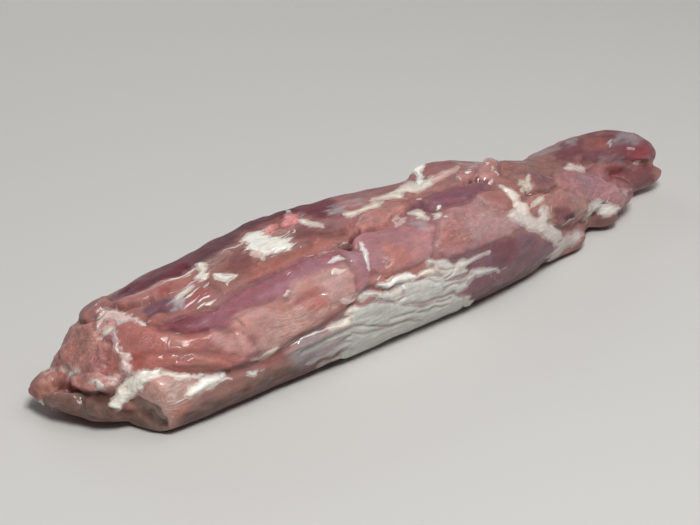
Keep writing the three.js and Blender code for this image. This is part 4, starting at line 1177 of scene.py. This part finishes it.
def set_attribute(made, name, kind, values):
    """A named value at each point of a piece, for its material."""
    layer = made.data.attributes.new(name, kind, "POINT")
    if kind == "FLOAT_COLOR":
        values = np.concatenate([values, np.ones((len(values), 1))], axis=1)
        layer.data.foreach_set("color", values.ravel())
    else:
        layer.data.foreach_set("value", values)


def node(tree, kind, inputs=None, **settings):
    """Adds one node, sets what it is, and gives each named input a constant or another node's output."""
    made = tree.nodes.new(kind)
    for key, value in settings.items():
        setattr(made, key, value)
    for key, value in (inputs or {}).items():
        if isinstance(value, bpy.types.NodeSocket):
            tree.links.new(value, made.inputs[key])
        else:
            made.inputs[key].default_value = value
    return made


def empty_material(name):
    """A new material and its cleared node tree."""
    material = bpy.data.materials.new(name)
    material.use_nodes = True
    material.node_tree.nodes.clear()
    return material, material.node_tree


def attribute(tree, name, output):
    """What a piece holds at each of its points under a name."""
    return node(tree, "ShaderNodeAttribute", attribute_name=name).outputs[output]


def maths(tree, operation, *values, clamped=False):
    """A sum or product of numbers."""
    return node(tree, "ShaderNodeMath", dict(enumerate(values)), operation=operation,
                use_clamp=clamped).outputs[0]


def vector_maths(tree, operation, *values):
    """The same for places and colours."""
    return node(tree, "ShaderNodeVectorMath", dict(enumerate(values)), operation=operation).outputs[0]


def scaled(tree, colour, tone):
    """A colour made lighter or darker by a tone near 1."""
    return node(tree, "ShaderNodeVectorMath", {0: colour, "Scale": tone}, operation="SCALE").outputs[0]


def mixed(tree, share, first, second):
    """From one colour to another by a share."""
    return node(tree, "ShaderNodeMix", {"Factor": share, 6: first, 7: second}, data_type="RGBA").outputs[2]


def remap(tree, value, start, end):
    """A value's range from `start` stretched to `end`, and held beyond it."""
    return node(tree, "ShaderNodeMapRange", {
        "Value": value, "From Min": start[0], "From Max": start[1], "To Min": end[0], "To Max": end[1],
    }).outputs[0]


def spread(tree, value, low, high):
    """A noise's middle, 0.3 to 0.7, stretched to run from low to high."""
    return remap(tree, value, (0.3, 0.7), (low, high))


def speckle(tree, place, scale, detail, roughness=0.5):
    """Noise of about `scale` specks to the metre."""
    return node(tree, "ShaderNodeTexNoise", {
        "Vector": place, "Scale": scale, "Detail": detail, "Roughness": roughness}).outputs[0]


def drawn_out(tree, place, share):
    """Places squeezed along the meat, so that what is drawn at them runs long with its fibres."""
    return node(tree, "ShaderNodeMapping", {"Vector": place, "Scale": (share, 1, 1)}).outputs[0]


def drifted(tree, place, scale, reach, start):
    """`start` moved in all directions by noise at `place`, by half of `reach` metres at most."""
    drift = node(tree, "ShaderNodeTexNoise", {"Vector": place, "Scale": scale, "Detail": 1}).outputs["Color"]
    return vector_maths(tree, "MULTIPLY_ADD", drift, (reach,) * 3, start)


ROSY = (1.05, 0.96, 0.95, 1)  # tints that the lean's colour is multiplied by, in large blotches
PURPLISH = (0.93, 1.02, 1.05, 1)


def raw_lean(name):
    """Wet raw lean pork: a fine grain with faint fibres along it and thin pale threads between its
    bundles, mottled, and over it a clear film of moisture whose small waves catch the light."""
    material, tree = empty_material(name)
    place = node(tree, "ShaderNodeTexCoord").outputs["Object"]
    bent = drifted(tree, place, 90, 0.006, place)
    along = drawn_out(tree, bent, 0.22)
    fibre = speckle(tree, along, 1300, 2)
    bundle = speckle(tree, along, 420, 2)
    grain = speckle(tree, bent, 1500, 2)
    mottle = speckle(tree, bent, 300, 3)
    blotch = speckle(tree, bent, 110, 2)
    wet = attribute(tree, "wet", "Fac")

    crooked = drawn_out(tree, drifted(tree, place, 450, 0.004, bent), 0.5)
    seams = node(tree, "ShaderNodeTexVoronoi", {"Vector": crooked, "Scale": 270}, feature="DISTANCE_TO_EDGE")
    threads = remap(tree, seams.outputs["Distance"], (0, 0.06), (1.12, 1))
    streaks = maths(tree, "MULTIPLY", spread(tree, fibre, 0.96, 1.04), spread(tree, bundle, 0.96, 1.04))
    specks = maths(tree, "MULTIPLY", spread(tree, grain, 0.95, 1.05), spread(tree, mottle, 0.92, 1.08))
    tone = maths(tree, "MULTIPLY", maths(tree, "MULTIPLY", streaks, specks), threads)
    tint = mixed(tree, spread(tree, blotch, 0, 1), ROSY, PURPLISH)
    tinted = vector_maths(tree, "MULTIPLY", attribute(tree, "lean", "Color"), tint)
    # paler streaks along the fibres round the fat and where listed, partly painted glints
    hazy = maths(tree, "MULTIPLY_ADD", fibre, 1.1, attribute(tree, "smear_and_glints", "Fac"))
    haze_and_glints = remap(tree, hazy, (0.85, 1.5), (0, 0.7))
    colour = mixed(tree, haze_and_glints, scaled(tree, tinted, tone), attribute(tree, "pale", "Color"))

    relief = maths(tree, "MULTIPLY_ADD", bundle, 1.2, fibre)
    relief = maths(tree, "MULTIPLY_ADD", grain, 1.0, relief)
    relief = maths(tree, "MULTIPLY_ADD", mottle, 2.0, relief)
    bumps = node(tree, "ShaderNodeBump", {"Height": relief, "Strength": 0.6, "Distance": 0.0003})
    pool = remap(tree, speckle(tree, place, 130, 2), (0.4, 0.62), (0.4, 1.4))
    film = maths(tree, "MULTIPLY", pool, wet, clamped=True)
    wave_place = drawn_out(tree, bent, 0.5)
    wave = speckle(tree, wave_place, 280, 1, 0.35)
    wave = maths(tree, "MULTIPLY_ADD", speckle(tree, wave_place, 1100, 0), 0.07, wave)
    wave = maths(tree, "MULTIPLY", wave, remap(tree, wet, (0, 1), (0.35, 1)))
    waves = node(tree, "ShaderNodeBump", {"Height": wave, "Strength": 1.0, "Distance": 0.0005})
    shader = node(tree, "ShaderNodeBsdfPrincipled", {
        "Base Color": colour,
        "Roughness": spread(tree, mottle, 0.42, 0.6),
        "IOR": 1.38,
        "Specular IOR Level": 0.25,
        "Subsurface Weight": 0.25,
        "Subsurface Radius": (1.0, 0.4, 0.3),
        "Subsurface Scale": 0.002,
        "Coat Weight": film,
        "Coat Roughness": 0.06,
        "Normal": bumps.outputs[0],
        "Coat Normal": waves.outputs[0],
    })
    node(tree, "ShaderNodeOutputMaterial", {"Surface": shader.outputs[0]})
    return material


meat = mesh_object("meat", finished, quads)
meat.data.polygons.foreach_set("use_smooth", np.ones(len(quads), bool))
set_attribute(meat, "lean", "FLOAT_COLOR", lean)
set_attribute(meat, "pale", "FLOAT_COLOR", fat_colour)
set_attribute(meat, "wet", "FLOAT", wet)
# the pale smear round the fat, and paler streaks that are partly painted glints
set_attribute(meat, "smear_and_glints", "FLOAT", np.maximum(smooth_step(fat_gap, *SMEAR_GAP), haze_and_glints))
meat.data.materials.append(raw_lean("raw_lean_pork"))
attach(meat, "root")
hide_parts("tenderloin")

# ---------------------------------------------------------------- the fat's own pieces
# Fat lies on the lean as thin sheets and lumps with real thickness. Each piece is a finer grid over
# the skin under it, and its top dips below the skin where the fat ends, so that the edge is crisp.
FAT_SCALE = 0.62  # the fat is built at this share of the thickness listed
FAT_STEPS = 3  # how many times finer the fat's grid is than the skin's
FAT_NEAR = 0.75  # mm beyond the fat's edge that its grid runs on
FAT_DIP = 0.5  # how deep the top goes under the skin past the edge
FAT_BASE = 1.0  # how deep the hidden underside lies
FAT_THINNEST = 0.05
THIN_FAT = 0.4  # fat thinner than this lets the lean's colour through
THIN_SHARE = 0.45  # how far it does at the fat's very edge
THIN_WISP = 0.75  # fat listed thinner than this is a wisp, and the lean shows through all of it
WISP_COVER = (0.5, 0.7)  # how far a wisp covers the lean, and how much more for each mm listed
WISP_EDGE = (-0.1, 0.4)  # mm in from its edge over which a wisp comes to its full cover
CLEAR_SHARE = 0.2  # how far the lean shows through the clearer spots of thick fat
CLEAR_SPOTS = ((8, 2.4, 2.4), 34)
CLEAR_HOLLOWS = 0.5  # how much likelier the clearer spots are in the hollows of the wide creases
CLEAR_EASE = (0.0, 0.8)
RIM_EASE = 1.2  # mm over which the relief fades in from the fat's edge
LEAST_CRUMPLE = 0.15
CRUMPLE_EASE = 12  # pixels over which the crumpling fades out
WIDE_CREASES = (0.3, (11, 3.2, 3.2), 31)  # share of the thickness, cell and seed
FINE_CREASES = (0.22, (5, 1.3, 1.3), 32)
STREAKS = ((7, 0.8, 0.8), 33)
STREAK_RISE = (0.03, 0.05)  # how high the streaks are, and how much more where the fat is crumpled
FOLD_SHARE = 0.7  # the folds go to this share of the depth listed
FAT_REST_EASE = (0, 1.5)
CRUMPLED = [  # where the fat is crumpled most, in pixels
    patch((340, 300), (372, 282), (410, 268), (440, 256), (505, 262), (500, 285), (460, 312), (400, 345),
        (340, 365)),
    patch((104, 372), (150, 366), (222, 372), (222, 400), (180, 402), (106, 415)),
]
FAT_PIECES = [  # name, and from where to where it reaches along the meat
    ("fat_cut_end", -200, -70),
    ("fat_thick_end", -70, -28),
    ("fat_middle", -28, 8),
    ("fat_side", 8, 46),
    ("fat_tail", 46, 200),
]


def creases(points, cell, seed):
    """Sharp crests with rounded hollows between them: 1 - 2 |noise|."""
    return 1 - 2 * np.abs(noise(points, cell, seed))


def finer_grid(rows, faces, steps):
    """Rows of numbers at the skin's points, place first, on a grid some times finer over some of its
    quads: bilinear between corners, with one point where neighbouring quads share one."""
    share = np.linspace(0, 1, steps + 1)
    u, v = (grid.ravel()[None, :, None] for grid in np.meshgrid(share, share, indexing="ij"))
    a, b, c, d = (rows[faces[:, k]][:, None, :] for k in range(4))
    spread_rows = (1 - u) * (1 - v) * a + u * (1 - v) * b + u * v * c + (1 - u) * v * d
    spread_rows = spread_rows.reshape(-1, rows.shape[1])
    keys = np.round(spread_rows[:, :3] * 1e4).astype(np.int64)
    _, first, same = np.unique(keys, axis=0, return_index=True, return_inverse=True)
    i, j = (grid.ravel() for grid in np.meshgrid(np.arange(steps), np.arange(steps), indexing="ij"))
    low = i * (steps + 1) + j
    cells = np.stack([low, low + steps + 1, low + steps + 2, low + 1], axis=1)
    offset = np.arange(len(faces))[:, None, None] * (steps + 1) ** 2
    return spread_rows[first], same.ravel()[(cells + offset).reshape(-1, 4)]


def closed_slab(top, base, cells):
    """A closed mesh from a top and a base over the same cells: both faces, and a wall round the rim."""
    start = cells.ravel()
    end = np.roll(cells, -1, axis=1).ravel()
    count = len(top)
    lone = ~np.isin(start * count + end, end * count + start)
    wall = np.stack([end[lone], start[lone], start[lone] + count, end[lone] + count], axis=1)
    return np.concatenate([top, base]), np.concatenate([cells, cells[:, ::-1] + count, wall])


def raw_fat(name):
    """Raw pork fat: cream, waxy and a little clear, with a damp gloss."""
    material, tree = empty_material(name)
    place = node(tree, "ShaderNodeTexCoord").outputs["Object"]
    strands = speckle(tree, drawn_out(tree, place, 0.15), 1300, 2)
    mottle = speckle(tree, place, 350, 3)
    tone = maths(tree, "MULTIPLY", spread(tree, strands, 0.92, 1.08), spread(tree, mottle, 0.9, 1.1))
    relief = maths(tree, "MULTIPLY_ADD", mottle, 1.5, strands)
    bumps = node(tree, "ShaderNodeBump", {"Height": relief, "Strength": 0.4, "Distance": 0.0003})
    shader = node(tree, "ShaderNodeBsdfPrincipled", {
        "Base Color": scaled(tree, attribute(tree, "fat", "Color"), tone),
        "Roughness": spread(tree, mottle, 0.38, 0.55),
        "IOR": 1.45,
        "Subsurface Weight": 0.25,
        "Subsurface Radius": (1.0, 0.7, 0.5),
        "Subsurface Scale": 0.0015,
        "Coat Weight": 0.5,
        "Coat Roughness": 0.12,
        "Normal": bumps.outputs[0],
        "Coat Normal": bumps.outputs[0],
    })
    node(tree, "ShaderNodeOutputMaterial", {"Surface": shader.outputs[0]})
    return material


fat_material = raw_fat("raw_pork_fat")
near_fat = np.minimum(fat_gap, wisp_and_glint_gap) < FAT_NEAR
covered = quads[near_fat[quads].any(axis=1)]
rows = np.concatenate([skin, finished, normal, shown[:, None], lean], axis=1)
fine, cells = finer_grid(rows, covered, FAT_STEPS)
cell_x = np.repeat(skin[covered, 0].mean(axis=1), FAT_STEPS ** 2)
place, under, facing_out, over, lean_under = np.split(fine, np.cumsum([3, 3, 3, 1]), axis=1)
over = over[:, 0]
gap, colours, thickness, rise = fat_over(place, over, FAT + WISPS_AND_GLINT_LINE, FAR_FAT + FAR_WISPS)
inside = smooth_step(-gap, 0, RIM_EASE)
fold_at, _ = in_photo(wandered(place))
crumpled = np.full(len(fine), LEAST_CRUMPLE)
for shape in CRUMPLED:
    near = smooth_step(gap_to(shape, fold_at, CRUMPLE_EASE), CRUMPLE_EASE, 0)
    crumpled = np.maximum(crumpled, over * near)
wide = creases(place, *WIDE_CREASES[1:])
relief = WIDE_CREASES[0] * wide + FINE_CREASES[0] * creases(place, *FINE_CREASES[1:])
rise = FAT_SCALE * rise * (1 + crumpled * relief)
rise += inside * (STREAK_RISE[0] + STREAK_RISE[1] * crumpled) * noise(place, *STREAKS)
rise -= over * inside * FOLD_SHARE * valleys(FAT_FOLDS, fold_at)
rise = np.where(gap > 0, -np.minimum(gap, FAT_DIP), np.maximum(rise, FAT_THINNEST * inside))
thin = THIN_SHARE * smooth_step(rise, THIN_FAT, 0.0)
wisp_cover = np.minimum(WISP_COVER[0] + WISP_COVER[1] * thickness, 1)
faint = 1 - wisp_cover * smooth_step(-gap, *WISP_EDGE)
thin = np.where(thickness < THIN_WISP, faint, thin)
colours = relaxed(colours, cells, 3)
colours = colours + thin[:, None] * (lean_under - colours)
clear = smooth_step(noise(place, *CLEAR_SPOTS) - CLEAR_HOLLOWS * wide, *CLEAR_EASE)[:, None]
colours = colours + CLEAR_SHARE * clear * (lean_under - colours)
pressed = smooth_step(under[:, 2], *FAT_REST_EASE)
top = relaxed(under + facing_out * (rise * pressed)[:, None], cells, 2)
top[:, 2] = np.maximum(top[:, 2], 0)
base = under - facing_out * FAT_BASE
for name, first_x, last_x in FAT_PIECES:
    own = cells[(cell_x >= first_x) & (cell_x < last_x)]
    used, own_cells = np.unique(own, return_inverse=True)
    points, faces = closed_slab(top[used], base[used], own_cells.reshape(-1, 4))
    fat = mesh_object(name, points, faces)
    fat.data.polygons.foreach_set("use_smooth", np.arange(len(faces)) < 2 * len(own))
    set_attribute(fat, "fat", "FLOAT_COLOR", np.concatenate([colours[used], colours[used]]))
    fat.data.materials.append(fat_material)
    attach(fat, "root")

# ---------------------------------------------------------------- floor and light
# A pale plain floor, and soft studio light: a key above the near side, and broad fill from above
# and from behind.
FLOOR_HALF = 3000
FLOOR_DROP = 0.2  # just below the meat
AIM = [0, 0, 20]  # the lamps point here
floor_corners = np.array([(-1, -1), (1, -1), (1, 1), (-1, 1)]) * FLOOR_HALF
floor_points = np.column_stack([floor_corners, np.full(4, -FLOOR_DROP)])
floor = mesh_object("floor", floor_points, np.array([[0, 1, 2, 3]]))
floor_paint = bpy.data.materials.new("matt_paint")
floor_paint.use_nodes = True
floor_shader = floor_paint.node_tree.nodes["Principled BSDF"]
floor_shader.inputs["Base Color"].default_value = (*linear("#d2d0cc"), 1)
floor_shader.inputs["Roughness"].default_value = 0.8
floor.data.materials.append(floor_paint)

LAMPS = [  # name, place and size in mm, watts
    ("key", (-230, -470, 950), 300, 7.9),
    ("fill", (250, -300, 1100), 900, 3.6),
    ("back", (150, 950, 400), 600, 1.8),
]
for name, spot, size, power in LAMPS:
    lamp_data = bpy.data.lights.new(name, "AREA")
    lamp_data.size = size * MM
    lamp_data.energy = power
    lamp = bpy.data.objects.new(name, lamp_data)
    bpy.context.scene.collection.objects.link(lamp)
    back = np.array(spot, float) - AIM
    back /= np.linalg.norm(back)
    right = np.cross([0, 0, 1], back)
    right /= np.linalg.norm(right)
    pose = np.eye(4)
    pose[:3, 0] = right
    pose[:3, 1] = np.cross(back, right)
    pose[:3, 2] = back
    pose[:3, 3] = np.array(spot) * MM
    lamp.matrix_world = Matrix(pose.tolist())

world = bpy.data.worlds.new("studio")
world.use_nodes = True
world.node_tree.nodes["Background"].inputs["Color"].default_value = (*linear("#eef0f2"), 1)
world.node_tree.nodes["Background"].inputs["Strength"].default_value = 0.1
bpy.context.scene.world = world
bpy.context.scene.view_settings.view_transform = "Standard"
